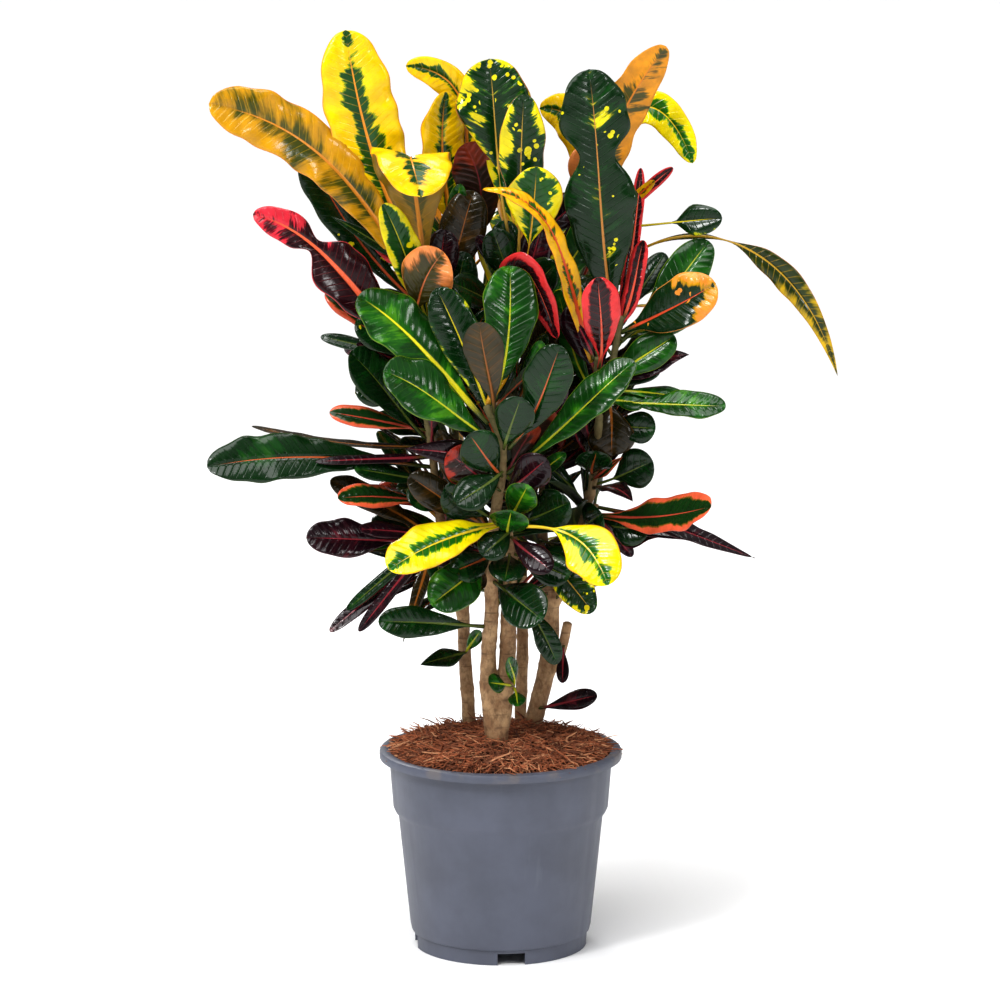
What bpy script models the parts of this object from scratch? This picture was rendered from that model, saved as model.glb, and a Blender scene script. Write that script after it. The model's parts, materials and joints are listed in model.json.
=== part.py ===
"""A potted croton: a nursery pot with soil, a coir topping, four rooted stems and their leaves.

Metres, +Z up. The origin is on the pot's axis, on the surface that the pot stands on.
-Y is the front of the plant. The tables are in millimetres and are scaled by MM.
"""
import math
from collections import namedtuple

import bpy
from mathutils import Matrix, Vector
from mathutils.bvhtree import BVHTree

MM = 0.001

# ---- driving dimensions, in millimetres ----
POT_HEIGHT = 198.0
POT_LIP_RADIUS = 120.0
POT_WALL = 1.8
FOOT_RADIUS = 85.5
FOOT_RING = 2.6
FOOT_HEIGHT = 14.5
FLOOR_UNDERSIDE = 12.2
FLOOR_TOP = 14.2
PAD_RADIUS = 14.0
PAD_SLOPE = 3.0
WALL_FOOT_RADIUS = 90.0
WALL_FOOT_HEIGHT = 22.0
SHOULDER_LOW = (101.5, 132.0)
SHOULDER_MID = (104.8, 136.4)
SHOULDER_HIGH = (106.7, 141.0)
BAND_TOP = (110.4, 189.0)
RIM_PLATE = 2.2
SKIRT_BOTTOM = 189.8
POT_SEGMENTS = 60

NOTCH_WIDTH = 27.0
NOTCH_HEIGHT = 11.6
NOTCH_TOOL = (12.0, NOTCH_WIDTH, 20.0)
NOTCH_AZIMUTHS = (-83.0, 7.0, 97.0, 187.0)
DRAIN_RADIUS = 5.0
DRAIN_CIRCLE = 62.0
DRAIN_COUNT = 8
DRAIN_SIDES = 16
DRAIN_REACH = 4.0

SOIL_TOP = 181.0
COIR_EDGE_HEIGHT = 194.0
COIR_CROWN = 15.0
COIR_RINGS = 5
FIT_GAP = 0.35
SOCKET_GAP = 0.45

STEM_SIDES = 8
STEM_STEP = 26.0

LEAF_RINGS = 11
PETIOLE_HALF_WIDTH = 1.7
PETIOLE_THICKNESS = 3.2
BLADE_THICKNESS = 1.6
PETIOLE_FLARE = 0.25
PETIOLE_TAPER = 0.75
LEAF_CUP = 0.10
UNDER_SHARE = 0.65
ROOT_LIFT = 0.7
START_OUTWARD = 0.08
LEAF_GAP = 0.4
DEPTH_STEP = 7.0
DEPTH_TRIES = 9
SHARE_STEP = 0.025
SHARE_TRIES = 3
SHARE_LOW = 0.05
SHARE_HIGH = 0.995
SHARE_COST = 1.6
NEARER_COST = 0.01

# ---- finishes: colour (linear), roughness ----
FINISHES = {
    "pot": ((0.139, 0.151, 0.195), 0.55),
    "soil": ((0.035, 0.022, 0.015), 0.95),
    "coir": ((0.220, 0.080, 0.035), 0.95),
    "bark": ((0.300, 0.220, 0.140), 0.85),
    "sun": ((0.800, 0.560, 0.015), 0.35),
    "gold": ((0.620, 0.330, 0.020), 0.35),
    "fresh": ((0.035, 0.160, 0.020), 0.30),
    "deep": ((0.008, 0.045, 0.012), 0.28),
    "spotted": ((0.015, 0.090, 0.012), 0.28),
    "edged": ((0.300, 0.050, 0.040), 0.35),
    "ember": ((0.420, 0.030, 0.030), 0.32),
    "salmon": ((0.620, 0.190, 0.080), 0.35),
    "plum": ((0.060, 0.012, 0.025), 0.32),
    "bronze": ((0.070, 0.040, 0.015), 0.35),
}

# ---- stems: each branch is (name, radius at its start, radius at its end, points) ----
STEMS = {
    "stem_front": [
        ("front_base", 12.5, 12.0, [(-4, -20, 130), (-4, -20, 175), (-4, -21, 222)]),
        ("front_left", 10.0, 4.2, [(-5, -21, 208), (-8.5, -22, 232), (-12.5, -21, 270), (-12, -28, 305),
                                   (-8.5, -32, 345), (-10, -52, 405), (0, -82, 480), (2, -95, 515),
                                   (-14, -100, 553)]),
        ("front_right", 10.0, 4.2, [(-3, -20, 208), (1.5, -20, 232), (6, -20, 270), (7, -22, 305),
                                    (8, -28, 340), (10, -30, 390), (12, -20, 460), (12, 0, 560),
                                    (19, 0, 695)]),
        ("front_low", 5.5, 3.6, [(9, -29, 378), (9, -52, 405), (8, -88, 441)]),
    ],
    "stem_left": [
        ("left_base", 8.0, 6.6, [(-31, 70, 130), (-31, 70, 175), (-32, 69, 215), (-36, 65, 278),
                                 (-38, 60, 330)]),
        ("left_outer", 6.0, 3.8, [(-38, 60, 318), (-48, 50, 360), (-60, 5, 430), (-68, -28, 510),
                                  (-87, -32, 622)]),
        ("left_inner", 6.0, 3.8, [(-38, 60, 318), (-31, 52, 400), (-45, 32, 500), (-60, 5, 600),
                                  (-76, -18, 680)]),
        ("left_low", 4.6, 3.2, [(-48, 50, 360), (-58, 24, 382), (-62, -18, 412)]),
    ],
    "stem_right": [
        ("right_base", 10.5, 8.6, [(31, 55, 130), (31, 55, 175), (33, 55, 212), (44, 55, 255),
                                   (50, 54, 300), (50, 50, 340)]),
        ("right_outer", 7.0, 3.8, [(50, 51, 328), (62, 44, 352), (80, 20, 420), (93, 0, 480),
                                   (104, -10, 558), (117, -6, 628)]),
        ("right_inner", 6.5, 3.8, [(50, 51, 328), (42, 47, 385), (46, 55, 500), (70, 60, 620),
                                   (102, 60, 716)]),
        ("right_front", 4.8, 3.4, [(92, 2, 474), (95, -30, 530), (92, -58, 594)]),
        ("right_low", 4.6, 3.2, [(72, 30, 394), (82, 12, 414), (94, -2, 442)]),
        ("right_stub", 5.6, 5.0, [(46, 55, 258), (58, 46, 276), (67, 40, 316)]),
    ],
    "stem_back": [
        ("back_base", 7.0, 6.0, [(20, 86, 130), (20, 86, 175), (20, 86, 214), (22, 86, 275),
                                 (20, 90, 405)]),
        ("back_left", 5.4, 3.6, [(20, 90, 392), (-8, 100, 500), (-30, 72, 620), (-50, 34, 698)]),
        ("back_right", 5.0, 3.6, [(20, 90, 392), (48, 120, 500), (60, 132, 600)]),
    ],
}

# ---- leaves: where each is rooted, where its tip is, and how its blade lies ----
# branch and share: where on the branch's length the leaf is rooted. tip and width in millimetres.
# face: azimuth and elevation of the direction that the upper side looks along, in degrees.
# arch: how far the midrib's two handles stand off its chord towards the upper side, per length.
# sway: the same, towards the blade's right.
Leaf = namedtuple("Leaf", "name branch share tip width face arch sway shape finish")

LEAVES = [
    ("crown_yellow", "left_inner", .99, (-148, -22, 903), 68,
     (-85, 15), (.03, .05), (-.05, -.06), "broad", "sun"),
    ("cupped_gold", "left_inner", .96, (-74, -100, 752), 74,
     (90, 40), (0, 0), (0, 0), "cup", "gold"),
    ("arch_olive", "left_inner", .92, (-276, -60, 835), 54,
     (-95, 30), (.06, .08), (.17, .19), "paddled", "gold"),
    ("round_spotted", "front_right", .99, (-11, 0, 875), 74,
     (-95, 20), (.04, .02), (.03, .0), "paddle", "spotted"),
    ("round_front", "front_right", .95, (22, -40, 843), 48,
     (-75, 15), (.04, .03), (0, -.02), "round", "spotted"),
    ("tall_pinched", "right_outer", .975, (84, -22, 866), 68,
     (-88, 8), (.04, .05), (.04, .01), "pinched", "deep"),
    ("gold_diagonal", "right_inner", .985, (160, 30, 886), 44, (100, 10), (0, 0), (0, 0), "broad", "gold"),
    ("droop_bright", "right_inner", .94, (189, 45, 770), 34, (-85, 20), (0, 0), (0, 0), "broad", "sun"),
    ("upright_banded", "back_left", .985, (-53, 10, 843), 48,
     (-75, 5), (.02, .02), (-.10, -.08), "broad", "sun"),
    ("curled_tip", "back_left", .96, (-92, 30, 867), 30, (-90, 10), (0, 0), (0, 0), "oblong", "sun"),
    ("green_blotched", "front_right", .91, (34, -62, 776), 56,
     (-85, 10), (.05, .03), (.02, .02), "paddle", "spotted"),
    ("twisted_orange", "right_front", .98, (-17, -100, 757), 26,
     (-90, 30), (0, 0), (0, 0), "oblong", "gold"),
    ("left_spotted", "left_inner", .86, (-192, 12, 796), 44,
     (-80, 20), (.05, .04), (-.06, -.08), "spoon", "deep"),
    ("maroon_upright", "back_left", .92, (-35, -20, 794), 48,
     (100, 10), (.02, .02), (-.12, -.18), "spoon", "plum"),
    ("red_young", "right_outer", .99, (137, 50, 767), 13,
     (-90, 0), (.03, .02), (.04, .02), "strap", "ember"),
    ("green_right", "right_outer", .93, (202, 10, 699), 42,
     (-80, 30), (.06, .04), (.00, .02), "spoon", "fresh"),
    ("yellow_tipped", "right_outer", .955, (206, -42, 663), 50,
     (-85, 25), (.05, .04), (-.02, .04), "broad", "edged"),
    ("plum_pointed", "right_outer", .79, (182, -22, 592), 32,
     (-85, 40), (.06, .04), (-.10, -.10), "lance", "plum"),
    ("far_right_droop", "right_inner", .78, (328, 0, 568), 27,
     (-85, 15), (0, 0), (0, 0), "interrupted", "fresh"),
    ("salmon_round", "left_outer", .98, (-54, -74, 696), 56,
     (-90, 25), (.10, .08), (-.14, -.12), "round", "salmon"),
    ("green_margined", "left_inner", .80, (-112, -70, 741), 36,
     (-70, 10), (.05, .05), (.03, .03), "spoon", "sun"),
    ("red_left", "left_outer", .94, (-236, -50, 730), 54,
     (-85, 25), (.06, .06), (.06, .15), "necked", "ember"),
    ("bright_ribbed", "front_left", .96, (-135, -92, 656), 60,
     (-90, 45), (.08, .08), (.05, .05), "spoon", "fresh"),
    ("green_glossy", "front_left", .935, (-61, -88, 663), 44,
     (-85, 20), (.06, .04), (.02, .02), "spoon", "deep"),
    ("green_centre", "front_left", .99, (9, -62, 682), 54,
     (-80, 15), (.05, .04), (.02, .04), "spoon", "fresh"),
    ("red_hooked", "front_right", .72, (54, -105, 612), 36, (-85, 15), (0, 0), (0, 0), "broad", "ember"),
    ("red_curl", "right_front", .95, (91, -104, 675), 40,
     (-90, 5), (.05, .10), (.02, .02), "spoon", "ember"),
    ("bronze_upright", "front_left", .98, (-20, -134, 636), 38,
     (90, 0), (-.10, -.06), (.03, .02), "spoon", "bronze"),
    ("big_green", "front_left", .90, (-110, -134, 590), 60,
     (-90, 40), (.08, .08), (.02, .04), "spoon", "fresh"),
    ("red_ribbed", "front_left", .88, (56, -134, 614), 46,
     (-80, 30), (.05, .05), (.03, .03), "spoon", "deep"),
    ("long_right", "front_left", .80, (127, -92, 594), 42,
     (-90, 45), (.07, .06), (.03, .02), "spoon", "fresh"),
    ("dark_left", "left_outer", .67, (-144, -64, 599), 48,
     (-70, 30), (.06, .05), (.02, .02), "spoon", "deep"),
    ("brown_strap", "left_outer", .63, (-241, -30, 523), 15,
     (-90, 75), (-.03, -.05), (0, 0), "strap", "bronze"),
    ("long_left", "left_outer", .57, (-281, -60, 490), 50, (-90, 30), (.03, .02), (.06, .06), "spoon", "deep"),
    ("salmon_edged", "left_outer", .45, (-156, -72, 459), 30,
     (-90, 40), (.06, .06), (.02, .02), "spoon", "edged"),
    ("plum_spoon", "left_low", .92, (-188, -50, 417), 42,
     (-80, 30), (.04, .02), (-.02, .00), "round", "plum"),
    ("bright_low_left", "front_low", .98, (-105, -152, 404), 47,
     (-90, 45), (.07, .06), (.04, .05), "broad", "sun"),
    ("bright_low_right", "front_low", .93, (101, -145, 388), 54,
     (-90, 35), (.10, .10), (-.24, -.22), "round", "sun"),
    ("low_green", "front_left", .53, (-66, -128, 366), 44, (-90, 10), (.12, .10), (0, 0), "broad", "fresh"),
    ("low_round", "front_left", .47, (40, -122, 350), 46, (-90, 10), (.12, .10), (0, 0), "spoon", "deep"),
    ("right_plum", "right_low", .97, (248, -22, 392), 26, (-90, 50), (.10, .08), (0, .05), "lance", "plum"),
    ("pink_edged", "right_low", .84, (201, -60, 454), 42, (-90, 35), (-.02, -.08), (0, 0), "broad", "edged"),
    ("mid_right_green", "right_outer", .73, (217, -40, 544), 34,
     (-90, 45), (.05, .05), (.01, .04), "spoon", "fresh"),
    ("low_dark", "front_left", .33, (-118, -72, 339), 32, (-80, 20), (.10, .08), (0, 0), "spoon", "deep"),
    ("low_spotted", "front_right", .42, (89, -72, 348), 36,
     (-80, 35), (.10, .08), (0, 0), "spoon", "spotted"),
    ("dark_strap", "left_low", .60, (-166, -48, 324), 16, (-90, 40), (.10, .10), (0, 0), "strap", "plum"),
    ("hanging_dark", "front_right", .30, (55, -52, 293), 24,
     (-80, 30), (.16, .14), (0, 0), "spoon", "deep"),
    ("back_high", "back_left", .84, (-120, 175, 780), 46,
     (100, 25), (.06, .06), (.03, .03), "spoon", "gold"),
    ("back_crown", "right_inner", .90, (38, 66, 824), 44, (-90, 20), (0, 0), (0, 0), "spoon", "sun"),
    ("back_right_high", "back_right", .97, (105, 215, 720), 48,
     (80, 30), (.06, .06), (.03, .03), "spoon", "fresh"),
    ("back_right_low", "back_right", .72, (150, 205, 560), 46,
     (70, 40), (.07, .06), (.03, .03), "spoon", "deep"),
    ("back_left_low", "back_left", .45, (-120, 210, 570), 48,
     (110, 40), (.07, .06), (.03, .03), "spoon", "deep"),
    ("back_low", "back_base", .95, (-20, 235, 420), 42, (90, 45), (.08, .08), (0, 0), "spoon", "plum"),
]

# midribs that curl too far for an arch and a sway: the curve's two handles, in millimetres
HANDLES = {
    "cupped_gold": ((-83, 5, 775), (-95, -55, 825)),
    "droop_bright": ((95, 75, 840), (158, 70, 861)),
    "gold_diagonal": ((82, 40, 740), (108, 40, 820)),
    "curled_tip": ((-37, 35, 766), (-5, 30, 862)),
    "twisted_orange": ((56, -80, 694), (56, -90, 750)),
    "far_right_droop": ((150, 40, 742), (284, 10, 724)),
    "red_hooked": ((0, -85, 650), (10, -100, 745)),
    "back_crown": ((90, 84, 740), (100, 76, 828)),
}

# blades that turn about their midrib between root and tip, in degrees
TWISTS = {"upright_banded": 20, "twisted_orange": 70, "red_curl": 30}

# blade outlines: shares of the length where the blade starts, is at its widest, and starts to round off
OUTLINES = {
    "spoon": (0.04, 0.74, 0.66),
    "broad": (0.02, 0.55, 0.68),
    "oblong": (-0.05, 0.34, 0.80),
    "round": (0.24, 0.74, 0.62),
    "cup": (0.00, 0.50, 0.80),
    "paddled": (-0.05, 0.68, 0.80),
    "paddle": (0.40, 0.80, 0.68),
    "lance": (0.02, 0.52, 0.42),
    "strap": (-0.10, 0.30, 0.70),
    "pinched": (0.00, 0.50, 0.74),
    "necked": (0.00, 0.48, 0.76),
    "interrupted": (0.52, 0.74, 0.72),
}
PINCH_AT = 0.655
PINCH_SPREAD = 0.065
PINCH_DEPTHS = {"pinched": 0.50, "necked": 0.72}
NECKED_TIP = 0.62
LEAFLET_AT = 0.36
LEAFLET_SPREAD = 0.06
LEAFLET_SHARE = 0.55


def clear_scene():
    for old in list(bpy.data.objects):
        bpy.data.objects.remove(old, do_unlink=True)


def add_object(name, vertices, faces, finish=None, smooth=True):
    mesh = bpy.data.meshes.new(name)
    mesh.from_pydata([Vector(v) * MM for v in vertices], [], faces)
    mesh.validate()
    if smooth:
        mesh.shade_smooth()
        mesh.set_sharp_from_angle(angle=math.radians(35))
    obj = bpy.data.objects.new(name, mesh)
    bpy.context.scene.collection.objects.link(obj)
    if finish:
        obj.data.materials.append(make_material(name, finish))
    return obj


def make_material(name, finish):
    colour, roughness = FINISHES[finish]
    material = bpy.data.materials.new(f"{name}_{finish}")
    material.use_nodes = True
    shader = material.node_tree.nodes["Principled BSDF"]
    shader.inputs["Base Color"].default_value = (*colour, 1.0)
    shader.inputs["Roughness"].default_value = roughness
    shader.inputs["Metallic"].default_value = 0.0
    return material


def hide_tool(obj):
    obj.hide_render = True
    obj.display_type = "WIRE"


def add_boolean(target, tool, operation):
    modifier = target.modifiers.new(f"{operation.lower()}_{tool.name}", "BOOLEAN")
    modifier.operation = operation
    modifier.solver = "EXACT"
    modifier.object = tool
    hide_tool(tool)


def turned(profile, segments):
    """A closed body turned about Z from (radius, height) points, given from the outside bottom
    up and over to the inside; points on the axis become poles."""
    vertices = []
    rows = []
    for radius, height in profile:
        if radius == 0.0:
            rows.append([len(vertices)])
            vertices.append((0.0, 0.0, height))
            continue
        rows.append(list(range(len(vertices), len(vertices) + segments)))
        for k in range(segments):
            angle = math.tau * k / segments
            vertices.append((radius * math.cos(angle), radius * math.sin(angle), height))
    faces = []
    last = len(rows) if len(rows[0]) > 1 and len(rows[-1]) > 1 else len(rows) - 1
    for i in range(last):
        low, high = rows[i], rows[(i + 1) % len(rows)]
        for k in range(segments):
            j = (k + 1) % segments
            if len(low) == 1:
                faces.append((low[0], high[j], high[k]))
            elif len(high) == 1:
                faces.append((low[k], low[j], high[0]))
            else:
                faces.append((low[k], low[j], high[j], high[k]))
    return vertices, faces


def add_box(name, size, matrix):
    corners = [(x, y, z) for x in (-0.5, 0.5) for y in (-0.5, 0.5) for z in (-0.5, 0.5)]
    vertices = [matrix @ Vector((x * size[0], y * size[1], z * size[2])) for x, y, z in corners]
    faces = [(0, 1, 3, 2), (4, 6, 7, 5), (0, 4, 5, 1), (2, 3, 7, 6), (0, 2, 6, 4), (1, 5, 7, 3)]
    return add_object(name, vertices, faces, smooth=False)


def pot_outside(height):
    """The pot's outer radius at a height, along its plain wall."""
    points = [(WALL_FOOT_RADIUS, WALL_FOOT_HEIGHT), SHOULDER_LOW, SHOULDER_MID, SHOULDER_HIGH, BAND_TOP]
    for (r0, z0), (r1, z1) in zip(points, points[1:]):
        if height <= z1:
            return r0 + (r1 - r0) * (height - z0) / (z1 - z0)
    return BAND_TOP[0]


def make_pot():
    top = POT_HEIGHT
    lip = POT_LIP_RADIUS
    wall = POT_WALL
    profile = [
        (FOOT_RADIUS, 0.0),
        (FOOT_RADIUS + 0.5, FOOT_HEIGHT),
        (FOOT_RADIUS + 3.0, FOOT_HEIGHT + 1.2),
        (WALL_FOOT_RADIUS, WALL_FOOT_HEIGHT),
        SHOULDER_LOW,
        SHOULDER_MID,
        SHOULDER_HIGH,
        BAND_TOP,
        (BAND_TOP[0] + 0.4, top - RIM_PLATE),
        (lip - 2.2, top - RIM_PLATE - 0.3),
        (lip - 1.8, SKIRT_BOTTOM),
        (lip - 0.4, SKIRT_BOTTOM - 0.3),
        (lip, SKIRT_BOTTOM + 1.2),
        (lip, top - 3.0),
        (lip - 1.0, top - 0.9),
        (lip - 3.2, top),
        (BAND_TOP[0] + 1.2, top),
        (BAND_TOP[0] - 0.8, top - 1.0),
        (BAND_TOP[0] - wall, top - 4.0),
        (SHOULDER_HIGH[0] - wall, SHOULDER_HIGH[1] + 0.4),
        (SHOULDER_LOW[0] - wall, SHOULDER_LOW[1] + 0.6),
        (WALL_FOOT_RADIUS - wall, WALL_FOOT_HEIGHT),
        (FOOT_RADIUS - 1.0, FLOOR_TOP),
        (PAD_RADIUS + PAD_SLOPE - wall, FLOOR_TOP),
        (PAD_RADIUS - wall, wall),
        (0.0, wall),
    ]
    underside = [
        (0.0, 0.0),
        (PAD_RADIUS, 0.0),
        (PAD_RADIUS + PAD_SLOPE, FLOOR_UNDERSIDE),
        (FOOT_RADIUS - FOOT_RING, FLOOR_UNDERSIDE),
        (FOOT_RADIUS - FOOT_RING, 0.0),
    ]
    vertices, faces = turned_shell(profile, underside, POT_SEGMENTS)
    pot = add_object("pot", vertices, faces, "pot")
    for k, azimuth in enumerate(NOTCH_AZIMUTHS):
        turn = Matrix.Rotation(math.radians(azimuth), 4, "Z")
        place = turn @ Matrix.Translation((FOOT_RADIUS, 0.0, NOTCH_HEIGHT - NOTCH_TOOL[2] / 2))
        add_boolean(pot, add_box(f"notch_tool_{k}", NOTCH_TOOL, place), "DIFFERENCE")
    for k in range(DRAIN_COUNT):
        angle = math.tau * (k + 0.5) / DRAIN_COUNT
        centre = (DRAIN_CIRCLE * math.cos(angle), DRAIN_CIRCLE * math.sin(angle))
        ends = [(*centre, FLOOR_UNDERSIDE - DRAIN_REACH), (*centre, FLOOR_TOP + DRAIN_REACH)]
        tool = add_tube(f"drain_tool_{k}", ends, [DRAIN_RADIUS, DRAIN_RADIUS], DRAIN_SIDES)
        add_boolean(pot, tool, "DIFFERENCE")
    return pot


def turned_shell(profile, underside, segments):
    """The pot's wall: profile runs from the outer foot over the rim to the axis on the floor,
    underside back from the axis to the inner foot."""
    vertices, faces = turned(profile, segments)
    offset = len(vertices)
    more_vertices, more_faces = turned(underside, segments)
    vertices += more_vertices
    faces += [tuple(index + offset for index in face) for face in more_faces]
    inner_foot = offset + len(more_vertices) - segments
    for k in range(segments):
        j = (k + 1) % segments
        faces.append((inner_foot + k, inner_foot + j, j, k))
    return vertices, faces


def make_soil(stem_paths):
    gap = FIT_GAP
    profile = [
        (0.0, POT_WALL + gap),
        (PAD_RADIUS - POT_WALL - gap, POT_WALL + gap),
        (PAD_RADIUS + PAD_SLOPE - POT_WALL - gap, FLOOR_TOP + gap),
        (FOOT_RADIUS - 1.4, FLOOR_TOP + gap),
        (WALL_FOOT_RADIUS - POT_WALL - gap, WALL_FOOT_HEIGHT + 0.2),
        (SHOULDER_LOW[0] - POT_WALL - gap, SHOULDER_LOW[1] + 1.0),
        (SHOULDER_HIGH[0] - POT_WALL - gap, SHOULDER_HIGH[1] + 1.0),
        (pot_outside(SOIL_TOP) - POT_WALL - gap, SOIL_TOP),
        (0.0, SOIL_TOP),
    ]
    soil = add_object("soil", *turned(profile, POT_SEGMENTS), "soil")
    cut_sockets(soil, "soil", stem_paths)
    return soil


def coir_height(radius, angle, edge_radius):
    """The topping's surface: a low dome with soft lumps, higher at the back."""
    share = min(1.0, radius / edge_radius)
    lumps = 1.6 * math.sin(3 * angle + 0.8) + 1.1 * math.sin(5 * angle + 2.1 + 3 * share)
    back = 2.5 * math.sin(angle) * share
    return COIR_EDGE_HEIGHT + COIR_CROWN * (1 - share ** 2.2) ** 0.8 + (lumps + back) * share * (1.2 - share)


def make_coir(stem_paths):
    edge = pot_outside(SOIL_TOP + FIT_GAP) - POT_WALL - FIT_GAP
    profile = [(0.0, SOIL_TOP + FIT_GAP), (edge, SOIL_TOP + FIT_GAP), (edge + 0.3, COIR_EDGE_HEIGHT)]
    for k in range(1, COIR_RINGS):
        profile.append(((edge + 0.3) * (1 - k / COIR_RINGS), COIR_EDGE_HEIGHT))
    profile.append((0.0, COIR_EDGE_HEIGHT))
    vertices, faces = turned(profile, POT_SEGMENTS)
    shaped = []
    for x, y, z in vertices:
        if z >= COIR_EDGE_HEIGHT:
            z = coir_height(math.hypot(x, y), math.atan2(y, x), edge + 0.3)
        shaped.append((x, y, z))
    coir = add_object("coir_topping", shaped, faces, "coir")
    cut_sockets(coir, "coir", stem_paths)
    return coir


def cut_sockets(body, label, stem_paths):
    for name, (points, radii) in stem_paths.items():
        wide = [radius + SOCKET_GAP for radius in radii]
        deeper = [Vector(points[0]) - Vector((0, 0, SOCKET_GAP))] + points[1:]
        tool = add_tube(f"{label}_socket_{name}", deeper, wide, STEM_SIDES)
        add_boolean(body, tool, "DIFFERENCE")


def smooth_path(points, step):
    """A Catmull-Rom curve through the points, sampled about every step."""
    points = [Vector(p) for p in points]
    padded = [points[0] * 2 - points[1]] + points + [points[-1] * 2 - points[-2]]
    path = []
    for a, b, c, d in zip(padded, padded[1:], padded[2:], padded[3:]):
        count = max(1, round((c - b).length / step))
        for k in range(count):
            t = k / count
            path.append(0.5 * (2 * b + (c - a) * t + (2 * a - 5 * b + 4 * c - d) * t * t
                               + (3 * b - a - 3 * c + d) * t ** 3))
    path.append(points[-1])
    return path


def path_lengths(path):
    lengths = [0.0]
    for a, b in zip(path, path[1:]):
        lengths.append(lengths[-1] + (b - a).length)
    return lengths


def along(path, share):
    """The point and direction at a share of the path's length."""
    lengths = path_lengths(path)
    wanted = share * lengths[-1]
    for i in range(len(path) - 1):
        if wanted <= lengths[i + 1]:
            t = (wanted - lengths[i]) / (lengths[i + 1] - lengths[i])
            return path[i].lerp(path[i + 1], t), (path[i + 1] - path[i]).normalized()
    return path[-1], (path[-1] - path[-2]).normalized()


def add_tube(name, path, radii, sides, finish=None):
    """A closed round tube along a path, with flat ends."""
    path = [Vector(p) for p in path]
    vertices = []
    side = Vector((1, 0, 0))
    for i, point in enumerate(path):
        ahead = path[min(i + 1, len(path) - 1)] - path[max(i - 1, 0)]
        ahead.normalize()
        side = (side - ahead * side.dot(ahead)).normalized()
        other = ahead.cross(side)
        for k in range(sides):
            angle = math.tau * k / sides
            vertices.append(point + (side * math.cos(angle) + other * math.sin(angle)) * radii[i])
    faces = [tuple(reversed(range(sides)))]
    for i in range(len(path) - 1):
        for k in range(sides):
            j = (k + 1) % sides
            faces.append((i * sides + k, i * sides + j, (i + 1) * sides + j, (i + 1) * sides + k))
    faces.append(tuple(range(len(path) * sides - sides, len(path) * sides)))
    return add_object(name, vertices, faces, finish)


def branch_radii(path, start, end):
    lengths = path_lengths(path)
    return [start + (end - start) * (length / lengths[-1]) ** 0.8 for length in lengths]


def make_stem(name, branches):
    """One stem: its branches as tubes, joined into one body."""
    routes = {}
    stem = None
    for label, start, end, points in branches:
        path = smooth_path(points, STEM_STEP)
        radii = branch_radii(path, start, end)
        routes[label] = (path, radii)
        if stem is None:
            stem = add_tube(name, path, radii, STEM_SIDES, "bark")
        else:
            add_boolean(stem, add_tube(f"{label}_tool", path, radii, STEM_SIDES), "UNION")
    return stem, routes


def blade_share(shape, t):
    """The blade's half width at t from root to tip, as a share of its widest."""
    start, widest, rounding = OUTLINES[shape]
    rise = min(1.0, max(0.0, (t - start) / (widest - start)))
    share = rise ** 1.5 * (2.5 - 1.5 * rise)
    if t > rounding:
        end = (t - rounding) / (1 - rounding)
        share *= (1 - end ** 1.3) ** 0.9 if shape in ("lance", "interrupted") else (1 - end ** 2.4) ** 0.5
    if shape == "necked" and t > PINCH_AT:
        share *= NECKED_TIP
    if shape in PINCH_DEPTHS:
        share *= 1 - PINCH_DEPTHS[shape] * math.exp(-((t - PINCH_AT) / PINCH_SPREAD) ** 2)
    if shape == "interrupted":
        share += LEAFLET_SHARE * math.exp(-((t - LEAFLET_AT) / LEAFLET_SPREAD) ** 2)
    return share


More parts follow.
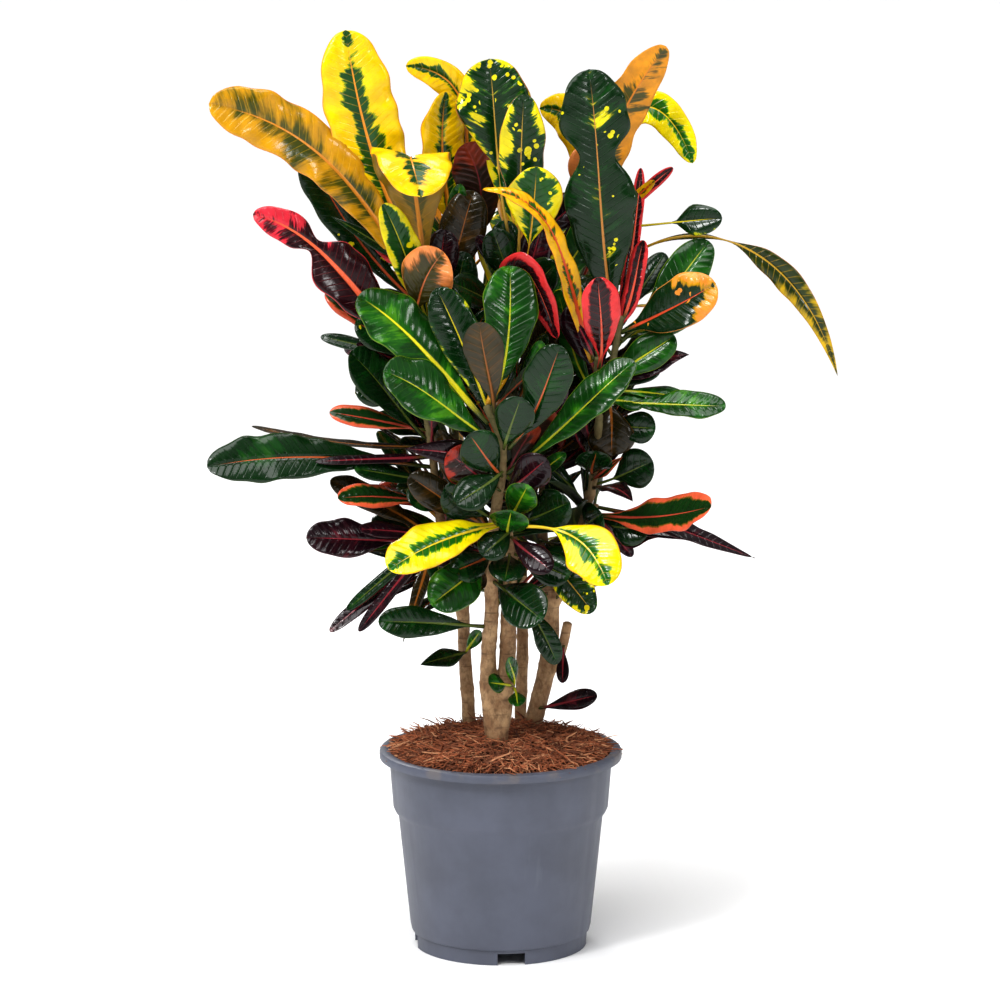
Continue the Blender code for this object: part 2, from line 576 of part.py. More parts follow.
def leaf_rings(leaf, route, depth_shift, share_shift, grow):
    """The leaf's cross sections from root to tip: for each, six points round the blade."""
    path, radii = route
    share = leaf.share + share_shift
    centre, stem_way = along(path, share)
    stem_radius = radii[-1] + (radii[0] - radii[-1]) * (1 - share ** 0.8)
    tip = Vector(leaf.tip) + Vector((0.0, depth_shift, 0.0))
    reach = tip - centre
    outward = (reach - stem_way * reach.dot(stem_way)).normalized()
    length = reach.length
    azimuth, elevation = (math.radians(angle) for angle in leaf.face)
    face = Vector((math.cos(azimuth) * math.cos(elevation), math.sin(azimuth) * math.cos(elevation),
                   math.sin(elevation)))
    chord = reach.normalized()
    up = (face - chord * face.dot(chord)).normalized()
    right = chord.cross(up)
    start_way = (chord / 3 + up * leaf.arch[0] + right * leaf.sway[0] + outward * START_OUTWARD).normalized()
    if leaf.name in HANDLES:
        start_way = (Vector(HANDLES[leaf.name][0]) - centre).normalized()
    lean = math.sqrt(max(0.0, 1 - start_way.dot(outward) ** 2))
    clear = stem_radius + LEAF_GAP + PETIOLE_THICKNESS * UNDER_SHARE * lean + ROOT_LIFT
    root = centre + outward * clear
    length = (tip - root).length
    chord = (tip - root) / length
    handles = [root, None, None, tip]
    for k in (0, 1):
        handles[k + 1] = (root + chord * length * (k + 1) / 3 + up * length * leaf.arch[k]
                          + right * length * leaf.sway[k])
    handles[1] += outward * length * START_OUTWARD
    if leaf.name in HANDLES:
        handles[1:3] = [Vector(handle) + Vector((0.0, depth_shift, 0.0)) for handle in HANDLES[leaf.name]]
    a, b, c, d = handles
    rings = []
    twist = math.radians(TWISTS.get(leaf.name, 0))
    normal = None
    for i in range(LEAF_RINGS + 1):
        t = math.sin(0.5 * math.pi * i / LEAF_RINGS)
        point = a * (1 - t) ** 3 + b * 3 * t * (1 - t) ** 2 + c * 3 * t * t * (1 - t) + d * t ** 3
        way = ((b - a) * (1 - t) ** 2 + (c - b) * 2 * t * (1 - t) + (d - c) * t * t).normalized()
        if normal is None:
            normal = up
        normal = (normal - way * normal.dot(way)).normalized()
        if i == LEAF_RINGS:
            rings.append([point])
            break
        above = Matrix.Rotation(twist * t, 3, way) @ normal
        side = way.cross(above)
        blade = leaf.width / 2 * blade_share(leaf.shape, t)
        petiole = PETIOLE_HALF_WIDTH * (1 - PETIOLE_TAPER * t) * (1 + PETIOLE_FLARE * (1 - t) ** 8)
        half = max(blade, petiole) + grow
        thick = BLADE_THICKNESS + (PETIOLE_THICKNESS - BLADE_THICKNESS) * (1 - t) ** 3 + 2 * grow
        cup = LEAF_CUP * half
        rings.append([
            point - side * half + above * cup,
            point + above * thick * 0.5,
            point + side * half + above * cup,
            point + side * half * 0.5 + above * (cup * 0.5 - thick * 0.5),
            point - above * thick * UNDER_SHARE,
            point - side * half * 0.5 + above * (cup * 0.5 - thick * 0.5),
        ])
    start = (b - a).normalized()
    rings.insert(0, [root - start * 0.5])
    return rings


def leaf_faces(rings):
    faces = []
    starts = [0]
    for ring in rings:
        starts.append(starts[-1] + len(ring))
    for i in range(len(rings) - 1):
        low, high = starts[i], starts[i + 1]
        for k in range(6):
            j = (k + 1) % 6
            if len(rings[i]) == 1:
                faces.append((low, high + j, high + k))
            elif len(rings[i + 1]) == 1:
                faces.append((low + k, low + j, high))
            else:
                faces.append((low + k, low + j, high + j))
                faces.append((low + k, high + j, high + k))
    return faces


def surface_tree(rings):
    vertices = [point for ring in rings for point in ring]
    return BVHTree.FromPolygons(vertices, leaf_faces(rings))


def object_tree(obj, depsgraph):
    mesh = obj.evaluated_get(depsgraph).to_mesh()
    vertices = [vertex.co / MM for vertex in mesh.vertices]
    return BVHTree.FromPolygons(vertices, [tuple(face.vertices) for face in mesh.polygons])


def settle_tries():
    """Small changes of depth and of place on the branch, the smallest first."""
    tries = []
    for i in range(-DEPTH_TRIES, DEPTH_TRIES + 1):
        for k in range(-SHARE_TRIES, SHARE_TRIES + 1):
            cost = abs(i) + SHARE_COST * abs(k) + NEARER_COST * (i < 0)
            tries.append((cost, i * DEPTH_STEP, k * SHARE_STEP))
    return sorted(tries)


def make_leaf(leaf, route, placed, tries):
    """Places a leaf where it is wanted, or as near in depth as it clears what is there."""
    for _, depth_shift, share_shift in tries:
        if not SHARE_LOW < leaf.share + share_shift < SHARE_HIGH:
            continue
        tree = surface_tree(leaf_rings(leaf, route, depth_shift, share_shift, LEAF_GAP / 2))
        if not any(tree.overlap(other) for other in placed):
            break
    else:
        print(f"{leaf.name} finds no clear place")
    rings = leaf_rings(leaf, route, depth_shift, share_shift, 0.0)
    placed.append(surface_tree(rings))
    vertices = [point for ring in rings for point in ring]
    leaf_object = add_object(f"leaf_{leaf.name}", vertices, leaf_faces(rings), leaf.finish)
    if depth_shift or share_shift:
        print(f"{leaf.name} moved {depth_shift:.0f} mm deeper and {share_shift:.3f} along")
    return leaf_object


def main():
    clear_scene()
    make_pot()
    stems = []
    routes = {}
    base_paths = {}
    for name, branches in STEMS.items():
        stem, stem_routes = make_stem(name, branches)
        stems.append(stem)
        routes.update(stem_routes)
        base_paths[name] = stem_routes[branches[0][0]]
    make_soil(base_paths)
    make_coir(base_paths)
    bpy.context.view_layer.update()
    depsgraph = bpy.context.evaluated_depsgraph_get()
    placed = [object_tree(stem, depsgraph) for stem in stems]
    tries = settle_tries()
    for leaf in (Leaf(*row) for row in LEAVES):
        make_leaf(leaf, routes[leaf.branch], placed, tries)


main()
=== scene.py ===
import json
import math
import random

import bpy
import numpy as np
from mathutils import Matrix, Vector, noise
from mathutils.bvhtree import BVHTree


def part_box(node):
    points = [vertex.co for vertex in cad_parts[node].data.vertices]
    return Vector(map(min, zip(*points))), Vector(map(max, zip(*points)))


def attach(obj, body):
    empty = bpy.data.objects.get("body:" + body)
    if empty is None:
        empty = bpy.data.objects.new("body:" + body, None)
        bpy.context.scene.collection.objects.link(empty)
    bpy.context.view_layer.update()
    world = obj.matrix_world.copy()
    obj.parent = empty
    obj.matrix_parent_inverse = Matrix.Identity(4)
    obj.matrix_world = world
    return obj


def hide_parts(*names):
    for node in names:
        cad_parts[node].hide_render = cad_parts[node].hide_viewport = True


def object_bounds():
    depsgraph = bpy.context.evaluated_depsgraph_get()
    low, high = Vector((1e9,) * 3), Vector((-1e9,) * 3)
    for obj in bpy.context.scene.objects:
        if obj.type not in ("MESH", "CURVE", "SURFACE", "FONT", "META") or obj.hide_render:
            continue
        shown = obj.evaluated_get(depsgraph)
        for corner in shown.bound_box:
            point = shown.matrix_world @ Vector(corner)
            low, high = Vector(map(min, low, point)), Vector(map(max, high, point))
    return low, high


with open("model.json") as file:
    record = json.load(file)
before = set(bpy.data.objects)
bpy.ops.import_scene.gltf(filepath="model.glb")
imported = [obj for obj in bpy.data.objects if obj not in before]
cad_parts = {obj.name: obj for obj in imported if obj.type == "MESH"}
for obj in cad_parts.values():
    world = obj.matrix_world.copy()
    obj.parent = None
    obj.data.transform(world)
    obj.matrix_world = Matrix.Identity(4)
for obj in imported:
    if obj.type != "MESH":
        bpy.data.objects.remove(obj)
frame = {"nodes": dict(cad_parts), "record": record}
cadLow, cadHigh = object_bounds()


def deselect():
    bpy.ops.object.select_all(action="DESELECT")


def makeActive(piece):
    deselect()
    piece.select_set(True)
    bpy.context.view_layer.objects.active = piece


def applyModifier(piece, kind, **settings):
    makeActive(piece)
    modifier = piece.modifiers.new(kind.lower(), kind)
    for key, value in settings.items():
        setattr(modifier, key, value)
    bpy.ops.object.modifier_apply(modifier=modifier.name)


def linked(name, mesh):
    piece = bpy.data.objects.new(name, mesh)
    bpy.context.scene.collection.objects.link(piece)
    return piece


def mergedCopy(node, name):  # a closed copy of a CAD node, whose own triangles are loose
    piece = linked(name, frame["nodes"][node].data.copy())
    piece.data.materials.clear()
    makeActive(piece)
    bpy.ops.mesh.customdata_custom_splitnormals_clear()
    bpy.ops.object.mode_set(mode="EDIT")
    bpy.ops.mesh.select_all(action="SELECT")
    bpy.ops.mesh.remove_doubles(threshold=0.00002)
    bpy.ops.object.mode_set(mode="OBJECT")
    return piece


def readPoints(mesh, kind="co"):
    values = np.empty(len(mesh.vertices) * 3)
    mesh.vertices.foreach_get(kind, values)
    return values.reshape(-1, 3)


def readCorners(mesh):  # which vertex each face corner stands on
    corners = np.empty(len(mesh.loops), int)
    mesh.loops.foreach_get("vertex_index", corners)
    return corners


def writePlaces(mesh, places):
    mesh.vertices.foreach_set("co", places.ravel())
    mesh.update()


def settle(piece, slot, *nodes):
    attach(piece, "root")
    if nodes:
        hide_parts(*nodes)


def linear(colour):  # 0-255 display values to the shader's own scale
    shares = [max(0.0, min(1.0, c / 255)) for c in colour]
    return tuple(s / 12.92 if s < 0.04 else ((s + 0.055) / 1.055) ** 2.4 for s in shares) + (1.0,)


def unit(vectors):
    return vectors / np.maximum(np.linalg.norm(vectors, axis=-1, keepdims=True), 1e-9)


cameraSetup = {"side": -0.0007, "distance": 3.5, "height": 1.0116, "pitch": 9.18, "lens": 130.4}
lightSetup = {
    "horizon": 1.0, "walls": 0.10, "ceiling": 0.46,  # the room's brightness, from low down to overhead
    "horizonEnds": (0.13, 0.19), "ceilingStarts": (0.34, 0.60),  # sines of the elevation
    "floor": (250, 250, 250), "floorSize": 160, "floorGap": 0.0002, "gamma": 0.88,
    "sun": 2.5, "sunSize": 50.0, "sunFrom": (-0.6, -1.0, 3.4),
    "lights": [
        ("keyLight", (-1.5, -1.9, 2.4), 0.65, 38.0),
        ("fillLight", (1.9, -2.1, 1.9), 0.6, 14.0),
        ("topLight", (0.3, 0.6, 2.7), 0.7, 10.0),
        ("backLight", (-0.8, 2.4, 1.9), 0.8, 16.0),
    ],
}


def addCamera():
    turned = math.radians(90 - cameraSetup["pitch"])
    place = (cameraSetup["side"], -cameraSetup["distance"], cameraSetup["height"])
    bpy.ops.object.camera_add(location=place, rotation=(turned, 0, 0))
    camera = bpy.context.active_object
    camera.data.lens = cameraSetup["lens"]
    bpy.context.scene.camera = camera


def addLamp(kind, name, place, power):  # aimed at the middle of the plant
    bpy.ops.object.light_add(type=kind, location=place)
    lamp = bpy.context.active_object
    lamp.name = name
    lamp.data.energy = power
    middle = (cadLow + cadHigh) / 2
    lamp.rotation_euler = (middle - Vector(place)).to_track_quat("-Z", "Y").to_euler()
    return lamp.data


def addLights():
    for name, place, size, power in lightSetup["lights"]:
        lamp = addLamp("AREA", name, place, power)
        lamp.shape = "DISK"
        lamp.size = size
    sun = addLamp("SUN", "roomLight", lightSetup["sunFrom"], lightSetup["sun"])
    sun.angle = math.radians(lightSetup["sunSize"])


class NodeMaker:  # a short way to write nodes
    def __init__(self, tree):
        self.tree = tree

    def put(self, socket, value):  # another node's output, a number or a colour
        if isinstance(value, bpy.types.NodeSocket):
            self.tree.links.new(value, socket)
        else:
            socket.default_value = linear(value) if isinstance(value, (tuple, list)) else value

    def add(self, kind, inputs=None, **settings):
        node = self.tree.nodes.new(kind)
        for key, value in settings.items():
            setattr(node, key, value)
        for key, value in (inputs or {}).items():
            self.put(node.inputs[key], value)
        return node

    def math(self, operation, a, b=0.0, c=0.0):
        return self.add("ShaderNodeMath", {0: a, 1: b, 2: c}, operation=operation).outputs[0]

    def times(self, a, b):
        return self.math("MULTIPLY", a, b)

    def plus(self, a, b):
        return self.math("ADD", a, b)

    def ramp(self, value, low, high, start=0.0, end=1.0):  # a smooth step between two values
        if low > high:
            low, high, start, end = high, low, end, start
        return self.add("ShaderNodeMapRange", {0: value, 1: low, 2: high, 3: start, 4: end},
                        interpolation_type="SMOOTHSTEP").outputs[0]

    def mix(self, share, a, b, blend="MIX"):
        colours = {0: share, 6: a, 7: b}
        return self.add("ShaderNodeMix", colours, data_type="RGBA", blend_type=blend).outputs[2]

    def noise(self, vector, scale, detail=2.0, rough=0.5):
        return self.add("ShaderNodeTexNoise", {"Vector": vector, "Scale": scale, "Detail": detail,
                                               "Roughness": rough}).outputs[0]

    def vector(self, x, y, z=0.0):
        return self.add("ShaderNodeCombineXYZ", {0: x, 1: y, 2: z}).outputs[0]

    def split(self, vector):
        return self.add("ShaderNodeSeparateXYZ", {0: vector}).outputs

    def stretched(self, place, across, up):
        x, y, z = self.split(place)
        return self.vector(self.times(x, across), self.times(y, across),
                           self.times(z, up))

    def objectPlace(self):
        return self.add("ShaderNodeTexCoord").outputs["Object"]

    def uv(self, name):
        return self.add("ShaderNodeUVMap", uv_map=name).outputs[0]


class MaterialNodes(NodeMaker):
    def __init__(self, name):
        self.material = bpy.data.materials.new(name)
        self.material.use_nodes = True
        super().__init__(self.material.node_tree)
        self.shader = self.tree.nodes["Principled BSDF"]

    def set(self, name, value):
        self.put(self.shader.inputs[name], value)

    def bump(self, height, distance, strength=0.5):
        node = self.add("ShaderNodeBump", {"Height": height, "Distance": distance, "Strength": strength})
        self.set("Normal", node.outputs[0])


def addRoom():  # white near the horizon, dark walls and a softly lit ceiling, so that leaves shine in patches
    world = bpy.data.worlds.new("studio")
    bpy.context.scene.world = world
    world.use_nodes = True
    nodes = NodeMaker(world.node_tree)
    background = world.node_tree.nodes["Background"].inputs
    background["Color"].default_value = (1, 1, 1, 1)
    walls = lightSetup["walls"]
    rise = nodes.split(nodes.add("ShaderNodeTexCoord").outputs["Generated"])[2]
    low = nodes.ramp(rise, *lightSetup["horizonEnds"], lightSetup["horizon"] - walls, 0.0)
    high = nodes.ramp(rise, *lightSetup["ceilingStarts"], 0.0, lightSetup["ceiling"] - walls)
    nodes.put(background["Strength"], nodes.plus(high, nodes.plus(low, walls)))


def addFloor():
    place = (0, 0, cadLow.z - lightSetup["floorGap"])
    bpy.ops.mesh.primitive_plane_add(size=lightSetup["floorSize"], location=place)
    floor = bpy.context.active_object
    floor.name = "floor"
    nodes = MaterialNodes("floorPaint")
    nodes.set("Base Color", lightSetup["floor"])
    nodes.set("Roughness", 0.75)
    floor.data.materials.append(nodes.material)


def addStudio():
    addLights()
    addRoom()
    addFloor()
    bpy.context.scene.view_settings.view_transform = "Standard"
    bpy.context.scene.view_settings.gamma = lightSetup["gamma"]
    print("studio")


# dark, mid and light: the blade, from its ground to its splashes; under: the underside, likewise
# splash: how blotchy; edge, core and tip: more light there; bias: more light all over; soft: blurred splashes
leafLooks = {
    "deep": {"dark": (8, 42, 11), "mid": (14, 62, 15), "light": (32, 78, 22), "rib": (90, 104, 40),
             "vein": (28, 68, 24), "under": (56, 74, 32), "underDark": (38, 54, 24), "rim": (56, 76, 32),
             "splash": 0.8, "edge": 0.0, "core": 0.1, "tip": 0.0, "bias": 0.05, "veins": 0.18, "spots": 0.0,
             "ribWide": 0.9, "soft": 1.0, "stalk": (74, 82, 34)},
}


def addLook(name, parent, **changes):
    leafLooks[name] = {**leafLooks[parent], **changes}


addLook("fresh", "deep", dark=(16, 64, 12), mid=(28, 92, 16), light=(70, 134, 24), rib=(190, 190, 44),
        vein=(58, 120, 28), under=(80, 114, 38), underDark=(58, 88, 30), bias=0.12, rim=(116, 146, 28))
addLook("vivid", "fresh", rib=(226, 214, 36), ribWide=1.9)
addLook("ribbed", "deep", rib=(186, 90, 46), ribWide=0.9)
addLook("deepYellow", "deep", rib=(206, 188, 36), light=(206, 206, 26), edge=0.42, bias=-0.24)
addLook("deepRed", "deep", rib=(198, 86, 46), spots=0.35, light=(220, 208, 20))
addLook("specked", "deepRed", rib=(188, 128, 60), spots=0.12)
addLook("spotted", "deep", dark=(12, 50, 12), mid=(40, 92, 14), light=(232, 216, 14), rib=(196, 156, 60),
        splash=1.9, edge=0.28, core=-0.2, tip=0.12, bias=-0.12, veins=0.12, spots=1.0, under=(150, 140, 20),
        underDark=(60, 84, 20), rim=(190, 120, 50))
addLook("blotched", "spotted", dark=(20, 78, 12), mid=(68, 126, 14), edge=0.4, bias=0.0, spots=0.5,
        rib=(218, 168, 36))
addLook("margined", "spotted", dark=(18, 74, 14), mid=(88, 140, 14), edge=0.75, core=-0.5, rib=(206, 196, 36))
addLook("sun", "deep", dark=(22, 74, 14), mid=(140, 160, 10), light=(244, 202, 4), rib=(232, 150, 44),
        vein=(236, 186, 16), under=(216, 150, 12), underDark=(104, 94, 12), rim=(226, 140, 44), splash=2.2,
        stalk=(190, 140, 36), edge=0.50, core=-0.75, tip=0.10, bias=0.58, veins=0.25, ribWide=1.5)
addLook("lime", "sun", mid=(110, 164, 12), light=(232, 214, 6), core=-0.55, bias=0.42, rib=(226, 194, 36),
        dark=(28, 98, 14), ribWide=1.0)
addLook("gold", "sun", dark=(56, 64, 10), mid=(176, 130, 12), light=(228, 156, 10), rib=(232, 140, 30),
        core=-0.3, bias=0.46, splash=1.9, under=(228, 152, 10), underDark=(76, 74, 12), rim=(216, 110, 36))
# cup: the sun look with its underside painted darker, painted shade for the cupped leaf's underside that
# hangs in shadow
addLook("cup", "sun", under=(140, 108, 8), underDark=(84, 80, 8), bias=0.7, mid=(200, 160, 12))
addLook("olive", "sun", dark=(66, 72, 12), mid=(140, 112, 12), light=(206, 150, 20), rib=(216, 140, 40),
        core=-0.25, edge=0.15, bias=0.34, splash=1.5, soft=4.0, under=(150, 112, 22), underDark=(88, 78, 14))
addLook("drooping", "olive", dark=(38, 52, 12), mid=(66, 74, 14), light=(196, 160, 16), tip=0.5, bias=-0.14,
        rib=(190, 150, 40), stalk=(150, 70, 40), ribWide=1.0)
addLook("goldBlotched", "gold", bias=0.22, splash=2.2, core=-0.1)
addLook("sunset", "sun", dark=(44, 92, 14), mid=(206, 110, 14), light=(236, 180, 10), rib=(216, 86, 36),
        core=-0.4, bias=0.5, under=(206, 100, 18), underDark=(140, 66, 18))
addLook("tipped", "deep", mid=(190, 140, 14), light=(240, 150, 52), rib=(206, 76, 40), edge=0.35, tip=0.95,
        core=-0.25, bias=-0.42, splash=1.0, spots=0.3, rim=(240, 160, 80))
addLook("edged", "deep", dark=(20, 54, 16), mid=(116, 86, 24), light=(226, 100, 64), rib=(204, 80, 60),
        edge=0.62, core=-0.3, tip=0.2, bias=-0.16, under=(144, 78, 50), underDark=(86, 62, 32),
        rim=(228, 98, 74))
addLook("ember", "deep", dark=(42, 9, 14), mid=(140, 22, 32), light=(222, 54, 56), rib=(236, 98, 72),
        vein=(170, 40, 44), under=(178, 42, 42), underDark=(100, 22, 30), rim=(226, 60, 66), splash=1.2,
        edge=0.70, core=-0.45, tip=0.1, bias=0.0)
addLook("emberDark", "ember", dark=(40, 8, 15), mid=(88, 15, 28), light=(216, 50, 66), edge=0.1, core=0.0,
        tip=0.62, bias=-0.30, splash=1.7, rib=(236, 108, 68), ribWide=2.2)
addLook("salmon", "deep", dark=(64, 58, 14), mid=(168, 100, 34), light=(238, 146, 78), rib=(206, 110, 56),
        edge=0.25, core=-0.15, tip=0.75, bias=-0.22, splash=1.5, soft=1.6, under=(226, 132, 72),
        underDark=(142, 84, 36), rim=(240, 156, 88))
addLook("plum", "deep", dark=(26, 8, 16), mid=(44, 12, 22), light=(92, 26, 38), rib=(144, 44, 54),
        vein=(70, 22, 32), under=(78, 36, 40), underDark=(50, 22, 28), rim=(100, 30, 44), bias=0.10)
addLook("maroon", "plum", dark=(38, 22, 14), mid=(62, 20, 16), light=(158, 42, 22), tip=0.6, bias=-0.26,
        edge=0.2, splash=1.3, under=(140, 50, 24), underDark=(46, 26, 14), rim=(140, 36, 30))
addLook("bronze", "deep", dark=(36, 30, 10), mid=(58, 42, 12), light=(96, 64, 18), rib=(150, 88, 30),
        vein=(80, 56, 20), under=(78, 56, 16), underDark=(50, 42, 12), rim=(110, 72, 30), bias=0.12)
slotLooks = {"leaf_sun": "sun", "leaf_gold": "gold", "leaf_spotted": "spotted", "leaf_deep": "deep",
             "leaf_plum": "plum", "leaf_ember": "ember", "leaf_fresh": "fresh", "leaf_edged": "edged",
             "leaf_salmon": "salmon", "leaf_bronze": "bronze"}
ownLooks = {"cupped_gold": "cup", "arch_olive": "olive", "green_margined": "margined",
            "green_blotched": "blotched", "droop_bright": "lime", "far_right_droop": "drooping",
            "gold_diagonal": "goldBlotched", "bright_low_left": "lime", "bright_low_right": "lime",
            "twisted_orange": "sunset", "yellow_tipped": "tipped", "red_left": "emberDark",
            "maroon_upright": "maroon", "left_spotted": "deepRed", "tall_pinched": "specked",
            "red_ribbed": "ribbed", "long_left": "ribbed", "green_glossy": "deepYellow",
            "bright_ribbed": "vivid"}
leafPattern = {"veinSpacing": 0.0075, "veinSlant": 0.62, "across": 22.0, "along": 80.0, "ribWidth": 0.0010,
               "spotScale": 130.0, "midFrom": 0.18, "lightFrom": 0.29, "softness": 0.05}


# how light the blade is, how near a side vein, the midrib, the margin and the stalk, and the flat place
def leafMarks(nodes, look):
    metres = nodes.split(nodes.uv("leafMetres"))
    share = nodes.split(nodes.uv("leafShare"))
    out = nodes.math("ABSOLUTE", metres[0])
    edge = nodes.math("ABSOLUTE", nodes.math("MULTIPLY_ADD", share[0], 2.0, -1.0))
    slanted = nodes.math("SUBTRACT", metres[1], nodes.times(out, leafPattern["veinSlant"]))
    ground = nodes.vector(nodes.times(metres[0], leafPattern["across"]),
                          nodes.times(slanted, leafPattern["along"]))
    blotch = nodes.noise(ground, 1.0, 4.0, 0.66)
    flat = nodes.vector(metres[0], metres[1])
    broad = nodes.noise(flat, 24.0, 1.0)
    total = nodes.times(nodes.math("SUBTRACT", blotch, 0.5), look["splash"])
    total = nodes.math("MULTIPLY_ADD", nodes.math("SUBTRACT", broad, 0.5), look["splash"] * 0.9, total)
    for part, weight in ((nodes.ramp(edge, 0.3, 1.0), "edge"), (nodes.ramp(edge, 0.62, 0.0), "core"),
                         (nodes.ramp(share[1], 0.45, 1.0), "tip")):
        total = nodes.math("MULTIPLY_ADD", part, look[weight], total)
    total = nodes.plus(total, look["bias"])
    if look["spots"]:
        cells = nodes.add("ShaderNodeTexVoronoi", {"Vector": flat, "Scale": leafPattern["spotScale"],
                                                   "Randomness": 1.0})
        size = nodes.ramp(nodes.noise(flat, 70.0, 1.0), 0.3, 0.7, 0.14, 0.46)
        dots = nodes.ramp(nodes.math("SUBTRACT", cells.outputs["Distance"], size), 0.03, -0.05)
        sparse = 0.62 - 0.12 * look["spots"]
        crowd = nodes.ramp(nodes.noise(flat, 34.0, 1.0), sparse, sparse + 0.08)
        total = nodes.math("MAXIMUM", total, nodes.times(dots, crowd))
    phase = nodes.math("DIVIDE", slanted, leafPattern["veinSpacing"])
    line = nodes.ramp(nodes.math("PINGPONG", phase, 0.5), 0.10, 0.0)
    line = nodes.times(line, nodes.ramp(edge, 1.0, 0.6))
    width = nodes.ramp(share[1], 0.0, 1.0, 1.7, 0.35)
    width = nodes.times(width, leafPattern["ribWidth"] * look["ribWide"])
    rib = nodes.ramp(nodes.math("DIVIDE", out, width), 1.25, 0.7)
    rib = nodes.times(rib, nodes.ramp(share[1], 0.97, 0.80))
    stalk = nodes.ramp(share[1], 0.20, 0.06)
    return total, line, rib, edge, flat, stalk


def leafUpper(name, look):
    nodes = MaterialNodes(name)
    total, line, rib, edge, flat, stalk = leafMarks(nodes, look)
    soft = look["soft"] * leafPattern["softness"]
    mid, light = leafPattern["midFrom"], leafPattern["lightFrom"]
    colour = nodes.mix(nodes.ramp(total, mid - soft, mid + soft), look["dark"], look["mid"])
    colour = nodes.mix(nodes.ramp(total, light - soft, light + soft), colour, look["light"])
    colour = nodes.mix(nodes.times(line, look["veins"]), colour, look["vein"])
    shade = nodes.ramp(nodes.noise(flat, 60.0, 3.0), 0.25, 0.75, 0.78, 1.12)
    colour = nodes.mix(1.0, colour, nodes.vector(shade, shade, shade), "MULTIPLY")
    colour = nodes.mix(nodes.ramp(edge, 0.955, 0.99, 0.0, 0.75), colour, look["rim"])
    colour = nodes.mix(rib, colour, nodes.mix(stalk, look["rib"], look["stalk"]))
    nodes.set("Base Color", colour)
    mottle = nodes.noise(flat, 420.0, 2.0)
    nodes.set("Roughness", nodes.ramp(mottle, 0.2, 0.8, 0.14, 0.22))
    nodes.set("Specular IOR Level", 0.4)
    soften = nodes.times(mottle, 0.12)
    swell = nodes.math("MULTIPLY_ADD", nodes.noise(flat, 75.0, 2.0), 1.6, soften)
    nodes.bump(nodes.math("MULTIPLY_ADD", line, -0.6, swell), 0.0004, 0.6)
    return nodes.material


def leafUnder(name, look):
    nodes = MaterialNodes(name)
    total, line, rib, edge, flat, stalk = leafMarks(nodes, look)
    mottle = nodes.noise(flat, 90.0, 3.0)
    colour = nodes.mix(nodes.ramp(total, 0.10, 0.36), look["underDark"], look["under"])
    shade = nodes.ramp(mottle, 0.25, 0.75, 0.78, 1.12)
    colour = nodes.mix(1.0, colour, nodes.vector(shade, shade, shade), "MULTIPLY")
    colour = nodes.mix(nodes.times(line, 0.18), colour, look["rib"])
    ribbing = nodes.mix(stalk, look["rib"], look["stalk"])
    colour = nodes.mix(nodes.times(rib, 0.85), colour, ribbing)
    nodes.set("Base Color", colour)
    nodes.set("Roughness", nodes.ramp(mottle, 0.2, 0.8, 0.34, 0.48))
    nodes.bump(nodes.plus(mottle, line), 0.0003, 0.4)
    return nodes.material


leafMaterials = {}


def leafMaterial(look):
    if look not in leafMaterials:
        made = leafLooks[look]
        leafMaterials[look] = (leafUpper(look + "Upper", made), leafUnder(look + "Under", made))
    return leafMaterials[look]


bladeMake = {
    "half": 0.00022, "stalk": 0.0016, "stalkWidth": 0.0017, "ridge": 0.0010, "intoStem": 0.0035,
    "channel": 0.0007, "channelWidth": 0.0018, "thinning": 0.72,  # the midrib gets thinner towards the tip
    "bulge": 0.09, "quilt": 0.00042, "ripple": 0.03, "wave": 0.085, "waveLength": 0.047, "otherSide": 1.18,
    "centreColumns": 0.62, "edgeColumns": 0.38,  # the blank's columns stand closer near the midrib
    "sections": 11,  # cross sections of a leaf solid, from its stalk to its tip
}


def bladeBlank(rows, columns):  # a thin two-sided grid that is bent into every leaf
    deselect()
    bpy.ops.mesh.primitive_grid_add(x_subdivisions=columns, y_subdivisions=rows, size=1.0)
    blank = bpy.context.active_object
    applyModifier(blank, "SOLIDIFY", thickness=0.001, offset=-1.0)
    mesh = blank.data
    places = readPoints(mesh)
    below = places[:, 2] < -0.0005
    underFaces = np.array([below[list(face.vertices)].any() for face in mesh.polygons])
    column = np.rint((places[:, 0] + 0.5) * columns).astype(int)
    row = np.rint((places[:, 1] + 0.5) * rows).astype(int)
    bpy.data.objects.remove(blank)
    return {"mesh": mesh, "rows": rows, "columns": columns, "row": row, "column": column,
            "side": np.where(below, -1.0, 1.0), "corners": readCorners(mesh),
            "underFaces": underFaces.astype(int)}


fineBlank = bladeBlank(88, 24)
plainBlank = bladeBlank(30, 8)


def spline(points, places):  # a smooth curve through the points, read at fractional places
    points = np.asarray(points, float)
    padded = np.vstack([2 * points[:1] - points[1:2], points, 2 * points[-1:] - points[-2:-1]])
    whole = np.clip(places, 0, len(points) - 1 - 1e-6)
    i = whole.astype(int)
    t = (whole - i)[:, None]
    a, b, c, d = (padded[i + k] for k in range(4))
    square, cube = 2 * a - 5 * b + 4 * c - d, 3 * b - a - 3 * c + d
    return 0.5 * (2 * b + (c - a) * t + square * t * t + cube * t ** 3)


